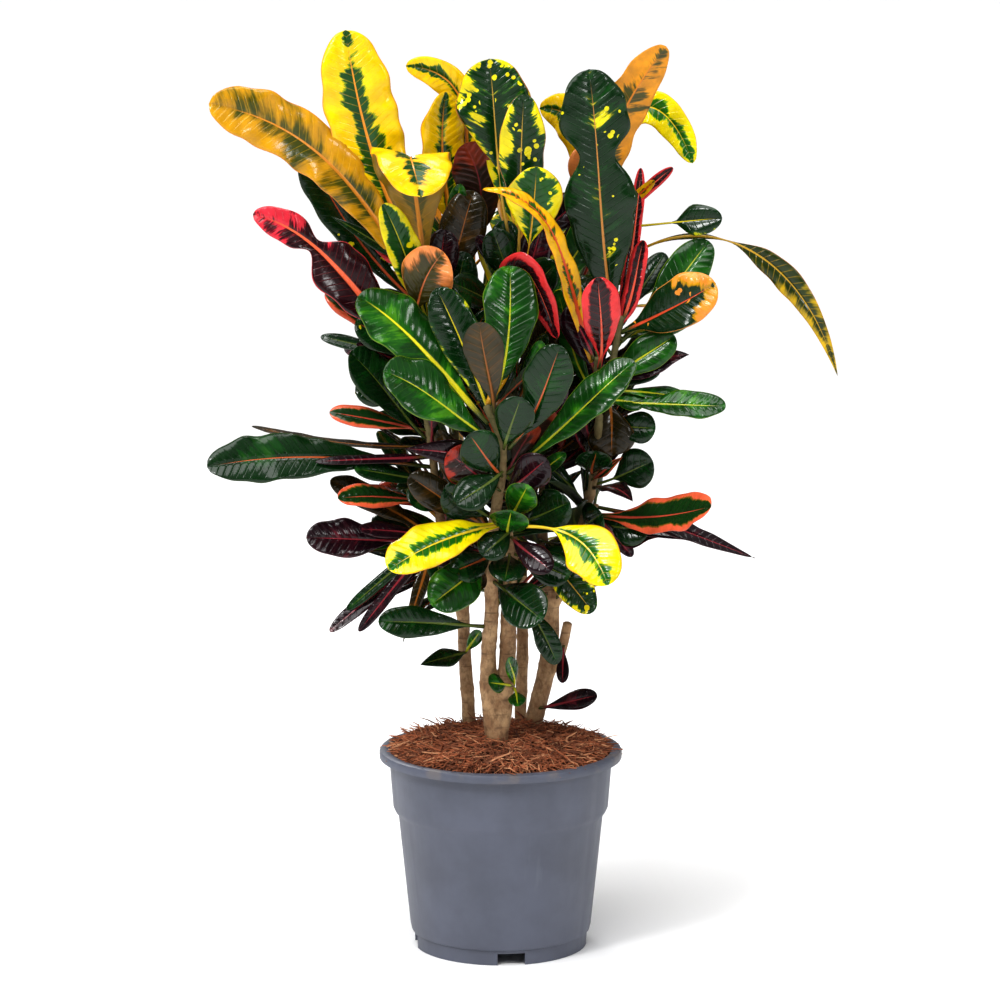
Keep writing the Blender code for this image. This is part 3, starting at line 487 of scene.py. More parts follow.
# middle, left and right: the midrib and the two margins, a point for each of the blank's rows
# s and u: where a point lies across the blade, from -1 to 1; x and m: the same place in metres
def bendBlade(name, blank, middle, left, right, look, seed, calm=1.0):
    rows, columns = blank["rows"], blank["columns"]
    chance = np.random.default_rng(seed)
    way = unit(np.gradient(middle, axis=0))
    across = unit(right - left + way * 1e-9)
    across[-1] = across[-2]
    above = unit(np.cross(across, way))
    steps = np.linalg.norm(np.diff(middle, axis=0), axis=1)
    along = np.concatenate([[0.0], np.cumsum(steps)])
    share = along / along[-1]
    s = blank["column"] / columns * 2 - 1
    u = s * (bladeMake["centreColumns"] + bladeMake["edgeColumns"] * s * s)
    row = blank["row"]
    margin = np.where((u > 0)[:, None], right[row], left[row]) - middle[row]
    size = np.abs(u)[:, None]
    half = np.linalg.norm(margin, axis=1)
    x = u * half
    m = along[row]
    leafy = np.clip((half - 0.003) / 0.008, 0, 1)
    phases = chance.uniform(0, math.tau, 4)
    side = u > 0
    beat = np.where(side, phases[0], phases[1])
    length = bladeMake["waveLength"] * np.where(side, 1.0, bladeMake["otherSide"])
    wave = np.sin(math.tau * m / length + beat) + 0.5 * np.sin(math.tau * m / length * 1.9 + phases[2])
    ripple = 1 + bladeMake["ripple"] * calm * np.sin(math.tau * m / length * 1.4 + beat + phases[3]) * leafy
    lift = bladeMake["bulge"] * half * np.abs(u) * (1 - np.abs(u)) * 4 * 0.6 * leafy
    lift += bladeMake["wave"] * calm * half * np.abs(u) ** 3 * wave * leafy
    vein = (m - leafPattern["veinSlant"] * np.abs(x)) / leafPattern["veinSpacing"]
    belly = np.clip(np.abs(u) * 6, 0, 1) * np.clip((1 - np.abs(u)) * 4, 0, 1)
    lift += bladeMake["quilt"] * np.abs(np.cos(math.pi * vein)) * belly * leafy * 1.6
    taper = 1 - bladeMake["thinning"] * share[row]
    lift -= bladeMake["channel"] * np.exp(-(x / bladeMake["channelWidth"]) ** 2) * leafy * taper
    inStalk = np.sqrt(np.clip(1 - (x / (bladeMake["stalkWidth"] * taper + 1e-6)) ** 2, 0, 1))
    topHalf = bladeMake["half"] + bladeMake["stalk"] * taper * inStalk * (1 - leafy)
    depth = bladeMake["stalk"] * (1 - leafy) + bladeMake["ridge"] * leafy
    lowHalf = bladeMake["half"] + depth * taper * inStalk
    thick = np.where(blank["side"] > 0, topHalf, -lowHalf)
    thick *= np.clip((1 - share[row]) * 14, 0.25, 1)
    places = middle[row] + margin * size * ripple[:, None] + above[row] * (lift + thick)[:, None]
    mesh = blank["mesh"].copy()
    mesh.name = name
    writePlaces(mesh, places)
    shareMap = mesh.uv_layers[0]
    shareMap.name = "leafShare"
    metresMap = mesh.uv_layers.new(name="leafMetres")
    corners = blank["corners"]
    shareMap.data.foreach_set("uv", np.stack([(u + 1) / 2, share[row]], 1)[corners].ravel())
    metresMap.data.foreach_set("uv", np.stack([x, m + seed % 97 * 0.37], 1)[corners].ravel())
    for material in leafMaterial(look):
        mesh.materials.append(material)
    mesh.polygons.foreach_set("material_index", blank["underFaces"])
    mesh.shade_smooth()
    mesh.update()
    return linked(name, mesh)


def ringsOf(mesh):  # the leaf solid's cross sections, from its stalk to its tip
    neighbours = [set() for _ in mesh.vertices]
    for edge in mesh.edges:
        a, b = edge.vertices
        neighbours[a].add(b)
        neighbours[b].add(a)
    for pole in range(len(neighbours)):
        if len(neighbours[pole]) != 6:
            continue
        levels = [[pole]]
        seen = {pole}
        while levels[-1]:
            ring = {b for a in levels[-1] for b in neighbours[a]} - seen
            seen |= ring
            levels.append(sorted(ring))
        levels.pop()
        if [len(level) for level in levels] == [1] + [6] * (len(levels) - 2) + [1]:
            break
    else:
        raise ValueError("a leaf solid has no rings")
    rings = []
    for level in levels[1:-1]:
        inside = set(level)
        walk = [level[0]]
        while len(walk) < 6:
            following = [b for b in neighbours[walk[-1]] & inside if b not in walk]
            walk.append(following[0])
        rings.append(np.array([mesh.vertices[i].co for i in walk]))
    ends = [np.array(mesh.vertices[levels[0][0]].co), np.array(mesh.vertices[levels[-1][0]].co)]
    return rings, ends


def thinnest(ring):
    return min(np.linalg.norm(ring[k] - ring[k + 3]) for k in range(3))


# the midrib and the two margins of a leaf solid: a point for each cross section, and one for the tip
def leafLines(node):
    piece = mergedCopy(node, "ringCopy")
    rings, ends = ringsOf(piece.data)
    bpy.data.objects.remove(piece)
    if thinnest(rings[0]) < thinnest(rings[-1]):
        rings.reverse()
        ends.reverse()
    middle, left, right = [], [], []
    centres = [ring.mean(axis=0) for ring in rings] + [ends[1]]
    for i, ring in enumerate(rings):
        chords = [np.linalg.norm(ring[k] - ring[(k + 2) % 6]) for k in range(6)]
        k = int(np.argmax(chords))
        top, low = ring[(k + 1) % 6], ring[(k + 4) % 6]
        sides = [ring[k], ring[(k + 2) % 6]]
        way = centres[i + 1] - centres[i]
        if np.dot(sides[1] - sides[0], np.cross(way, top - low)) < 0:
            sides.reverse()
        middle.append((top * 0.65 + low * 0.5) / 1.15)
        left.append(sides[0])
        right.append(sides[1])
    for line in (middle, left, right):
        line.append(ends[1])
    way = unit(middle[1] - middle[0])
    for line in (middle, left, right):
        line[0] = line[0] - way * bladeMake["intoStem"]
    return np.array(middle), np.array(left), np.array(right)


coarseTrees = []


def addFineLeaves():
    places = np.linspace(0, bladeMake["sections"], fineBlank["rows"] + 1)
    slots = {row["node"]: row["material_slot"] for row in frame["record"]["subparts"]}
    for seed, node in enumerate(leafNodes):
        label = node[len("leaf_"):]
        lines = [spline(line, places) for line in leafLines(node)]
        look = ownLooks.get(label, slotLooks[slots[node]])
        piece = bendBlade(label + "_leaf", fineBlank, *lines, look, seed * 7 + 11)
        settle(piece, slots[node], node)
    print(len(leafNodes), "fine leaves")


# a leaf's outline: shares of its length where the blade starts, is widest and starts to round off
outlines = {"spoon": (0.04, 0.74, 0.66), "broad": (0.02, 0.55, 0.68), "round": (0.28, 0.74, 0.62),
            "lance": (0.02, 0.52, 0.42), "strap": (-0.10, 0.30, 0.70), "late": (0.60, 0.80, 0.72)}


def outlineShare(shape, t):
    start, widest, rounding = outlines[shape]
    rise = np.clip((t - start) / (widest - start), 0, 1)
    share = rise ** 1.5 * (2.5 - 1.5 * rise)
    end = np.clip((t - rounding) / (1 - rounding), 0, 1)
    return share * ((1 - end ** 1.3) ** 0.9 if shape == "lance" else (1 - end ** 2.4) ** 0.5)


# the midrib and margins of a leaf that grows from root to tip, its upper side towards face
def grownLines(rows, root, tip, outward, face, width, shape, arch, sway=0.0):
    t = np.sin(0.5 * math.pi * np.arange(rows + 1) / rows)[:, None]
    length = np.linalg.norm(tip - root)
    chord = (tip - root) / length
    up = unit(face - chord * face.dot(chord))
    right = np.cross(chord, up)
    b = root + chord * length / 3 + up * length * arch + right * length * sway + outward * length * 0.08
    c = root + chord * length * 2 / 3 + up * length * arch * 0.8 + right * length * sway
    middle = root * (1 - t) ** 3 + b * 3 * t * (1 - t) ** 2 + c * 3 * t * t * (1 - t) + tip * t ** 3
    way = unit(np.gradient(middle, axis=0))
    normal = unit(up - way * (way @ up)[:, None])
    side = np.cross(way, normal)
    stalk = bladeMake["stalkWidth"] * (1 - 0.75 * t) * 0.9
    half = np.maximum(width / 2 * outlineShare(shape, t), stalk * (t < 0.999))
    cup = normal * half * 0.10
    return middle, middle - side * half + cup, middle + side * half + cup


def lineTree(leaves, step=1):
    places, faces = [], []
    for lines in leaves:
        start = len(places)
        middle, left, right = (line[::step] for line in lines)
        count = len(middle)
        places += [Vector(p) for p in np.concatenate([left, middle, right])]
        for i in range(start, start + count - 1):
            for k in (i, i + count):
                faces.append((k, k + 1, k + count + 1, k + count))
    return BVHTree.FromPolygons(places, faces)


def direction(azimuth, elevation):
    a, e = math.radians(azimuth), math.radians(elevation)
    return np.array([math.cos(a) * math.cos(e), math.sin(a) * math.cos(e), math.sin(e)])


def meshTree(nodes):
    places, faces = [], []
    for node in nodes:
        mesh = frame["nodes"][node].data
        start = len(places)
        places += [vertex.co.copy() for vertex in mesh.vertices]
        faces += [tuple(start + i for i in face.vertices) for face in mesh.polygons]
    return BVHTree.FromPolygons(places, faces)


stemNodes = [node for node in frame["nodes"] if node.startswith("stem_")]
leafNodes = sorted(node for node in frame["nodes"] if node.startswith("leaf_"))
stemTree = meshTree(stemNodes)
leafTree = meshTree(leafNodes)

# smaller leaves that have no CAD solid, in millimetres: the stalk grows from the stem nearest to the
# first place; then come the tip, the width, the look, the outline, which way the upper side faces
# (azimuth and elevation) and how far the midrib arches
smallLeaves = [
    # high in the crown
    ((85, 25, 725), (80, 25, 792), 42, "salmon", "spoon", (-90, 10), .04),
    ((0, 25, 765), (-5, 20, 804), 30, "blotched", "spoon", (-85, 10), .04),
    ((-110, 0, 670), (-134, -5, 707), 22, "ember", "lance", (-85, 20), .04),
    ((-110, -15, 670), (-163, -20, 725), 17, "deep", "lance", (-60, 20), .04),
    ((70, 10, 700), (83, 10, 745), 30, "plum", "spoon", (-90, 10), .04),
    ((-5, 0, 675), (0, 0, 719), 28, "deep", "spoon", (-90, 15), .04),
    ((-20, 0, 660), (-23, -5, 705), 17, "plum", "spoon", (-80, 10), .04),
    ((45, -40, 640), (53, -45, 682), 34, "deep", "spoon", (-90, 20), .05),
    ((90, -45, 635), (68, -50, 679), 22, "deep", "lance", (-70, 20), .05),
    ((125, -5, 620), (138, -5, 701), 17, "ember", "strap", (-100, 10), .03),
    ((145, 20, 665), (160, 20, 686), 24, "deep", "spoon", (-80, 20), .05),
    ((145, 35, 700), (168, 40, 768), 12, "ember", "strap", (-90, 10), .05),
    ((145, 32, 700), (150, 30, 756), 10, "sunset", "strap", (-100, 10), -.05),
    ((-20, -50, 630), (-46, -60, 665), 36, "deep", "round", (-90, 30), .06),
    ((-50, -5, 715), (-39, 0, 755), 18, "fresh", "spoon", (-90, 10), .04),
    # on the left
    ((-110, -30, 590), (-169, -20, 652), 25, "edged", "spoon", (-80, 30), .05),
    ((-85, -45, 585), (-139, -50, 627), 36, "deepRed", "spoon", (-80, 35), .06),
    ((-110, -30, 575), (-139, -35, 604), 9, "plum", "strap", (-80, 30), .03),
    ((-150, -20, 580), (-174, -20, 609), 14, "deep", "spoon", (-85, 20), .03),
    ((-125, -35, 510), (-165, -40, 538), 24, "edged", "spoon", (-85, 35), .05),
    ((-85, -45, 485), (-178, -55, 492), 10, "plum", "strap", (-80, 40), .02),
    ((-105, -45, 450), (-141, -50, 484), 23, "deep", "spoon", (-85, 40), .05),
    ((-125, -35, 430), (-165, -35, 471), 30, "bronze", "spoon", (-85, 40), .06),
    ((-60, -60, 435), (-88, -72, 481), 32, "bronze", "spoon", (-90, 10), .06),
    # before the stems
    ((-40, -85, 505), (-90, -116, 514), 28, "plum", "lance", (-88, 15), .08),
    ((4, -100, 478), (-30, -118, 528), 40, "ribbed", "spoon", (-90, 8), .06),
    ((-8, -100, 462), (-50, -114, 510), 40, "maroon", "spoon", (-88, 5), .05),
    ((14, -92, 486), (-42, -124, 462), 34, "deep", "spoon", (-90, 15), .05),
    ((2, -104, 508), (19, -124, 564), 38, "deep", "spoon", (-88, 8), .05),
    ((32, -40, 535), (60, -70, 576), 40, "plum", "spoon", (-90, 5), .05),
    ((5, -60, 590), (23, -65, 627), 12, "olive", "strap", (-90, 20), .05),
    ((55, -30, 580), (71, -40, 645), 40, "plum", "spoon", (-90, 20), .05),
    ((60, -60, 600), (71, -66, 630), 13, "plum", "lance", (-80, 20), .04),
    # on the right
    ((125, 10, 600), (186, 5, 631), 36, "fresh", "spoon", (-85, 40), .06),
    ((120, 0, 555), (155, -5, 577), 22, "deep", "spoon", (-85, 40), .05),
    ((145, -5, 550), (184, -15, 548), 20, "fresh", "spoon", (-85, 50), .05),
    ((105, -10, 545), (140, -20, 544), 27, "fresh", "spoon", (-85, 50), .05),
    ((128, 0, 545), (108, -22, 493), 46, "bronze", "spoon", (-92, 5), .06),
    ((95, -15, 460), (118, -25, 492), 12, "edged", "lance", (-90, 30), .05),
    ((110, 0, 455), (148, -18, 487), 42, "deep", "round", (-90, 10), .06),
    ((55, -35, 465), (63, -40, 498), 15, "fresh", "spoon", (-90, 20), .04),
    ((95, -10, 412), (144, -28, 420), 36, "deep", "spoon", (-90, 15), .06),
    ((105, -25, 415), (128, -30, 395), 16, "plum", "spoon", (-85, 40), .05),
    ((125, -10, 395), (193, -15, 411), 14, "plum", "strap", (-85, 50), .04),
    # below the bright pair of leaves
    ((12, -80, 414), (48, -108, 395), 27, "plum", "spoon", (-88, 15), .12),
    ((22, -80, 428), (-18, -104, 409), 30, "deep", "spoon", (-90, 15), .10),
    # low on the left
    ((-90, -60, 420), (-136, -70, 429), 20, "plum", "spoon", (-85, 45), .05),
    ((-110, -45, 385), (-138, -45, 324), 13, "plum", "strap", (-80, 30), .06),
    ((-100, -40, 375), (-95, -48, 314), 15, "bronze", "lance", (-85, 10), .06),
    ((-110, -40, 390), (-150, -40, 344), 12, "deep", "strap", (-80, 30), .06),
    # shoots near the soil
    ((-25, 40, 280), (-80, 35, 274), 24, "deep", "lance", (-85, 40), .04),
    ((-30, 40, 280), (-20, 38, 308), 14, "fresh", "spoon", (-90, 20), .03),
    ((15, -34, 265), (-12, -50, 274), 22, "fresh", "round", (-90, 30), .04),
    ((45, -30, 260), (7, -48, 298), 17, "fresh", "spoon", (-70, 30), .05),
    ((45, -30, 260), (17, -52, 251), 18, "fresh", "round", (-90, 40), .06),
    ((55, 10, 290), (61, 5, 262), 13, "plum", "spoon", (-90, 20), .05),
    ((45, 30, 225), (96, 25, 245), 21, "plum", "spoon", (-90, 30), .03),
    # close before the stems
    ((-15, -60, 440), (-54, -104, 474), 42, "deep", "spoon", (-90, 10), .05),
    ((0, -80, 420), (10, -122, 456), 38, "fresh", "spoon", (-92, 5), .05),
    ((30, -50, 430), (66, -100, 460), 42, "deep", "spoon", (-88, 10), .05),
    ((-5, -60, 400), (-46, -100, 392), 34, "ribbed", "spoon", (-90, 15), .06),
    ((28, -50, 400), (66, -80, 384), 34, "deep", "spoon", (-90, 15), .06),
    ((14, -80, 462), (44, -104, 502), 36, "plum", "spoon", (-90, 5), .05),
    ((-15, -50, 405), (-66, -76, 402), 28, "plum", "spoon", (-90, 20), .06),
    ((-45, -40, 455), (-84, -66, 450), 34, "deep", "spoon", (-90, 15), .06),
    ((70, -20, 470), (92, -50, 502), 36, "ribbed", "spoon", (-90, 10), .06),
    ((8, -80, 440), (26, -120, 480), 32, "fresh", "spoon", (-92, 5), .05),
    ((8, -60, 395), (4, -104, 384), 36, "deep", "spoon", (-90, 20), .12),
    ((30, -20, 390), (72, -66, 392), 36, "deep", "spoon", (-90, 15), .08),
    ((-30, 30, 400), (-72, -60, 404), 36, "bronze", "spoon", (-90, 15), .08),
    # inside the crown
    ((-40, 10, 640), (-26, 6, 748), 46, "bronze", "spoon", (-90, 10), .04),
    ((-60, -5, 640), (-54, -12, 712), 34, "plum", "spoon", (-90, 10), .04),
    ((16, 0, 650), (-8, -14, 712), 34, "deep", "spoon", (-90, 10), .04),
    ((-60, 5, 600), (-34, -8, 690), 36, "deep", "spoon", (-90, 10), .05),
    ((16, 0, 640), (40, -20, 716), 34, "plum", "spoon", (-90, 10), .04),
    ((100, -10, 560), (168, -20, 610), 36, "fresh", "spoon", (-88, 20), .06),
    ((104, -8, 520), (150, -24, 520), 32, "deep", "spoon", (-88, 15), .06),
    ((-80, -30, 560), (-140, -44, 560), 34, "deep", "spoon", (-88, 15), .06),
    ((-85, -30, 600), (-128, -30, 632), 34, "ribbed", "spoon", (-88, 15), .06),
    # at the crown's sides
    ((60, -10, 420), (98, -46, 440), 34, "deep", "spoon", (-90, 15), .06),
    ((150, 10, 690), (214, 0, 722), 32, "deepYellow", "late", (-90, 10), .05),
]


smallLeafMake = {"intoStem": 0.0025, "calm": 0.8, "firstSeed": 500, "firstFillerSeed": 900}


def rootOnStem(near):
    place, normal = stemTree.find_nearest(Vector(near))[:2]
    return np.array(place - normal * smallLeafMake["intoStem"]), np.array(normal)


def joinPieces(pieces, name):
    deselect()
    for piece in pieces:
        piece.select_set(True)
    bpy.context.view_layer.objects.active = pieces[0]
    bpy.ops.object.join()
    pieces[0].name = name
    return pieces[0]


otherSlots = {"deepRed": "leaf_deep", "deepYellow": "leaf_deep", "ribbed": "leaf_deep", "maroon": "leaf_plum",
              "blotched": "leaf_spotted", "lime": "leaf_sun", "olive": "leaf_gold", "sunset": "leaf_gold"}
grown = {}


def keepLeaf(look, lines, seed):
    piece = bendBlade(f"{look}_{seed}", plainBlank, *lines, look, seed, smallLeafMake["calm"])
    grown.setdefault(look, []).append(piece)
    coarseTrees.append(lineTree([lines], 3))


def addSmallLeaves():
    planted = []
    for seed, row in enumerate(smallLeaves):
        near, tip, width, look, shape, face, arch = row
        root, outward = rootOnStem([v / 1000 for v in near])
        lines = grownLines(plainBlank["rows"], root, np.array(tip) / 1000, outward, direction(*face),
                           width / 1000, shape, arch)
        keepLeaf(look, lines, smallLeafMake["firstSeed"] + seed)
        planted.append(lines)
    print(len(smallLeaves), "small leaves")
    return lineTree(planted, 3)


fillerMake = {"tries": 7000, "wanted": 320, "seed": 41, "lowest": 0.335, "lowestLeaf": 0.37, "highest": 0.68,
              "inset": 0.004, "intoStem": 0.002, "length": (0.070, 0.150), "width": (0.022, 0.044),
              "arch": (0.04, 0.16), "sway": (-0.08, 0.08), "rise": (0.1, 0.9), "levelHeight": 0.45,
              "away": 6, "backFrom": 0.05, "mayShow": 0.10,
              "shapes": ["spoon", "spoon", "broad", "round", "lance"]}
# how far the crown reaches to each side of the axis, by height
crownSides = [(0.33, -0.06, 0.08), (0.42, -0.12, 0.13), (0.50, -0.13, 0.13), (0.60, -0.13, 0.14),
              (0.68, -0.12, 0.15), (0.80, -0.09, 0.12), (0.90, -0.08, 0.08)]
innerLooks = ["deep", "deep", "deep", "fresh", "plum", "plum", "deepRed", "maroon", "bronze"]
backLooks = ["deep", "fresh", "sun", "spotted", "gold", "plum", "ember", "deepRed", "edged", "lime",
             "blotched"]
highLooks = ["sun", "gold", "spotted", "lime", "fresh", "deepYellow", "blotched", "sunset"]


def insideBox(points):
    low = np.array(cadLow) + fillerMake["inset"]
    high = np.array(cadHigh) - fillerMake["inset"]
    return (points > low).all() and (points < high).all()


def frontCover(points, eye, trees):  # shares of the points that stand open, and that hide other leaves
    bare = over = 0
    for point in points:
        way = Vector(point) - eye
        reach = way.length
        way.normalize()
        hits = [hit[3] for hit in (tree.ray_cast(eye, way) for tree in trees) if hit[0]]
        if not hits:
            bare += 1
        elif min(hits) >= reach - 0.001:
            over += 1
    return bare / len(points), over / len(points)


def inCrown(points):
    heights = [row[0] for row in crownSides]
    low = np.interp(points[:, 2], heights, [row[1] for row in crownSides])
    high = np.interp(points[:, 2], heights, [row[2] for row in crownSides])
    return ((points[:, 0] > low) & (points[:, 0] < high) & (points[:, 2] > fillerMake["lowestLeaf"])).all()


def stemSpots():  # places on the stems that leaves may grow from: a centre, a normal and a weight
    spots, weights = [], []
    for node in stemNodes:
        for face in frame["nodes"][node].data.polygons:
            if face.center.z > fillerMake["lowest"]:
                spots.append((face.center.copy(), face.normal.copy()))
                weights.append(face.area * (0.6 + face.center.z))
    return spots, weights


def drawnLeaf(chance, centre, normal):  # a leaf that grows up and away from the axis, facing up and outwards
    rise = chance.uniform(*fillerMake["rise"]) + (centre.z - fillerMake["levelHeight"])
    jitter = Vector((chance.uniform(-1, 1), chance.uniform(-1, 1), chance.uniform(-0.4, 0.4))) * 0.6
    away = Vector((centre.x, centre.y - 0.03, 0)) * fillerMake["away"]
    heading = (normal * 0.7 + jitter + away + Vector((0, 0, rise))).normalized()
    length = chance.uniform(*fillerMake["length"])
    root = np.array(centre - normal * fillerMake["intoStem"])
    tip = root + np.array(heading) * length
    outwards = -0.4 if tip[1] < fillerMake["backFrom"] else 0.4
    face = Vector((normal.x, normal.y, 0)) * 0.6 + Vector((0, 0, 1)) + Vector((0, outwards, 0)) + jitter * 0.3
    width = chance.uniform(*fillerMake["width"]) * (0.75 + 2 * length)
    shape = chance.choice(fillerMake["shapes"])
    arch = chance.uniform(*fillerMake["arch"])
    sway = chance.uniform(*fillerMake["sway"])
    return tip, grownLines(plainBlank["rows"], root, tip, np.array(normal), np.array(face.normalized()),
                           width, shape, arch, sway)


def addFillers(shownTrees):
    chance = random.Random(fillerMake["seed"])
    eye = bpy.context.scene.camera.location.copy()
    spots, weights = stemSpots()
    kept = 0
    for attempt in range(fillerMake["tries"]):
        tip, lines = drawnLeaf(chance, *chance.choices(spots, weights)[0])
        points = np.concatenate([line[6::6] for line in lines])
        look = chance.random()
        if not insideBox(np.concatenate(lines)):
            continue
        bare, over = frontCover(points, eye, shownTrees)
        atBack = points[:, 1].mean() > fillerMake["backFrom"]
        allowed = inCrown(points) and not atBack
        if over > fillerMake["mayShow"] or (bare > fillerMake["mayShow"] and not allowed):
            continue
        tree = lineTree([lines], 2)
        if tree.overlap(leafTree) or any(tree.overlap(other) for other in coarseTrees):
            continue
        looks = backLooks if atBack else innerLooks
        if tip[2] > fillerMake["highest"]:
            looks = highLooks if atBack else backLooks
        keepLeaf(looks[int(look * len(looks))], lines, smallLeafMake["firstFillerSeed"] + attempt)
        kept += 1
        if kept == fillerMake["wanted"]:
            break
    print(kept, "filling leaves")


def joinGrown():
    for look, pieces in grown.items():
        piece = joinPieces(pieces, f"small_leaves_{look}")
        settle(piece, otherSlots.get(look, "leaf_" + look))


potLook = {"colour": (86, 90, 104), "scuff": (108, 112, 124), "dust": (118, 108, 102),
           "roughness": (0.42, 0.56), "sharp": 38, "dustFrom": 0.182, "dustTo": 0.197}


def addPot():
    piece = mergedCopy("pot", "nursery_pot")
    makeActive(piece)
    bpy.ops.object.shade_smooth_by_angle(angle=math.radians(potLook["sharp"]))
    nodes = MaterialNodes("potPlastic")
    place = nodes.objectPlace()
    height = nodes.split(place)[2]
    grain = nodes.noise(place, 900.0, 2.0)
    cloud = nodes.noise(place, 14.0, 4.0, 0.6)
    streaks = nodes.noise(nodes.stretched(place, 60.0, 5.0), 1.0, 4.0, 0.65)
    colour = nodes.mix(nodes.ramp(cloud, 0.3, 0.7), [c * 0.93 for c in potLook["colour"]],
                       [c * 1.05 for c in potLook["colour"]])
    colour = nodes.mix(nodes.ramp(streaks, 0.62, 0.80, 0.0, 0.35), colour, potLook["scuff"])
    dusty = nodes.times(nodes.ramp(height, potLook["dustFrom"], potLook["dustTo"]),
                       nodes.ramp(nodes.noise(place, 45.0, 4.0), 0.48, 0.66))
    colour = nodes.mix(nodes.times(dusty, 0.5), colour, potLook["dust"])
    nodes.set("Base Color", colour)
    nodes.set("Roughness", nodes.ramp(streaks, 0.3, 0.8, *potLook["roughness"]))
    nodes.bump(nodes.plus(grain, nodes.times(streaks, 0.6)), 0.00012, 0.4)
    piece.data.materials.append(nodes.material)
    settle(piece, "pot_plastic", "pot")
    print("pot")


stemLook = {"low": (148, 112, 78), "dark": (88, 62, 42), "pale": (190, 156, 116), "green": (70, 78, 36),
            "voxel": 0.0013, "greenFrom": 0.44, "greenTo": 0.62, "relief": 0.0006, "knots": 1.1, "scars": 2.4,
            "smoothing": 14}


def stemMaterial():
    nodes = MaterialNodes("bark")
    place = nodes.objectPlace()
    patches = nodes.noise(place, 55.0, 5.0, 0.65)
    fine = nodes.noise(nodes.stretched(place, 260.0, 150.0), 1.0, 4.0, 0.6)
    rings = nodes.noise(nodes.stretched(place, 30.0, 260.0), 1.0, 2.0, 0.5)
    colour = nodes.mix(nodes.ramp(patches, 0.35, 0.65), stemLook["low"], stemLook["pale"])
    colour = nodes.mix(nodes.ramp(fine, 0.56, 0.36, 0.0, 0.45), colour, stemLook["dark"])
    colour = nodes.mix(nodes.ramp(rings, 0.60, 0.72, 0.0, 0.6), colour, stemLook["dark"])
    young = nodes.plus(nodes.split(place)[2], nodes.times(patches, 0.12))
    colour = nodes.mix(nodes.ramp(young, stemLook["greenFrom"], stemLook["greenTo"], 0.0, 0.8), colour,
                       stemLook["green"])
    nodes.set("Base Color", colour)
    nodes.set("Roughness", 0.78)
    nodes.bump(nodes.plus(fine, nodes.times(rings, 0.8)), 0.0007, 0.6)
    return nodes.material


def addStems():
    material = stemMaterial()
    for node in stemNodes:
        piece = mergedCopy(node, node.replace("stem", "woody"))
        applyModifier(piece, "REMESH", mode="VOXEL", voxel_size=stemLook["voxel"])
        applyModifier(piece, "SMOOTH", factor=0.5, iterations=stemLook["smoothing"])
        mesh = piece.data
        places, normals = readPoints(mesh), readPoints(mesh, "normal")
        lift = np.empty(len(places))
        for i, (x, y, z) in enumerate(places):
            knots = noise.noise(Vector((x * 70, y * 70, z * 42)))
            scars = noise.noise(Vector((x * 26, y * 26, z * 150 + 9)))
            lift[i] = knots * stemLook["knots"] + max(0.0, scars - 0.12) * stemLook["scars"]
        writePlaces(mesh, places + normals * (lift * stemLook["relief"])[:, None])
        mesh.shade_smooth()
        mesh.materials.append(material)
        settle(piece, "bark", node)
    print(len(stemNodes), "stems")


# dark: the mound's colour, painted shade for the gaps between the fibres; it also darkens random patches on
# the fibres
coirLook = {"dark": (50, 22, 12), "mid": (186, 108, 68), "pale": (226, 166, 122), "voxel": 0.0020,
            "lumps": 0.0022, "sink": 0.0012, "fibres": 3400, "seed": 17, "length": (0.009, 0.034),
            "radius": (0.00040, 0.00105), "edge": 0.1075, "overhang": 0.018, "side": 200}


def coirMaterial(name, fromFibre):
    nodes = MaterialNodes(name)
    place = nodes.objectPlace()
    lumps = nodes.noise(place, 220.0, 4.0, 0.7)
    if fromFibre:
        fibre = nodes.split(nodes.uv("fibre"))
        colour = nodes.mix(nodes.ramp(fibre[0], 0.0, 0.75), [c * 0.62 for c in coirLook["mid"]],
                           coirLook["mid"])
        colour = nodes.mix(nodes.ramp(fibre[0], 0.72, 1.0), colour, coirLook["pale"])
        colour = nodes.mix(nodes.ramp(lumps, 0.35, 0.65, 0.45, 0.0), colour, coirLook["dark"])
    else:
        # the mound under the fibres is painted dark, from dark to a dimmed mid brown: painted shade in the
        # gaps between the fibres
        colour = nodes.mix(nodes.ramp(lumps, 0.42, 0.66), coirLook["dark"],
                           [c * 0.7 for c in coirLook["mid"]])
    nodes.set("Base Color", colour)
    nodes.set("Roughness", 0.85)
    nodes.bump(lumps, 0.0012, 0.8)
    return nodes.material


def addTopping():
    piece = mergedCopy("coir_topping", "coir_mound")
    applyModifier(piece, "REMESH", mode="VOXEL", voxel_size=coirLook["voxel"])
    mesh = piece.data
    places, normals = readPoints(mesh), readPoints(mesh, "normal")
    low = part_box("coir_topping")[0].z
    lumps = np.array([noise.fractal(Vector(p * 120), 0.9, 2.0, 4) for p in places])
    lift = lumps * coirLook["lumps"] - coirLook["sink"]
    lift *= np.clip((places[:, 2] - low - 0.004) / 0.006, 0, 1)
    writePlaces(mesh, places + normals * lift[:, None])
    mesh.shade_smooth()
    mesh.materials.append(coirMaterial("coirMound", False))
    settle(piece, "coir", "coir_topping")
    addFibres()


def fibreBlank():  # one thin three-sided strand, a unit long
    deselect()
    bpy.ops.mesh.primitive_cylinder_add(vertices=3, radius=1.0, depth=1.0)
    strand = bpy.context.active_object
    bpy.ops.object.mode_set(mode="EDIT")
    bpy.ops.mesh.select_all(action="DESELECT")
    bpy.ops.object.mode_set(mode="OBJECT")
    for edge in strand.data.edges:
        a, b = (strand.data.vertices[i].co for i in edge.vertices)
        edge.select = abs(a.z - b.z) > 0.5
    bpy.ops.object.mode_set(mode="EDIT")
    bpy.ops.mesh.subdivide(number_cuts=4)
    bpy.ops.object.mode_set(mode="OBJECT")
    mesh = strand.data
    bpy.data.objects.remove(strand)
    return mesh


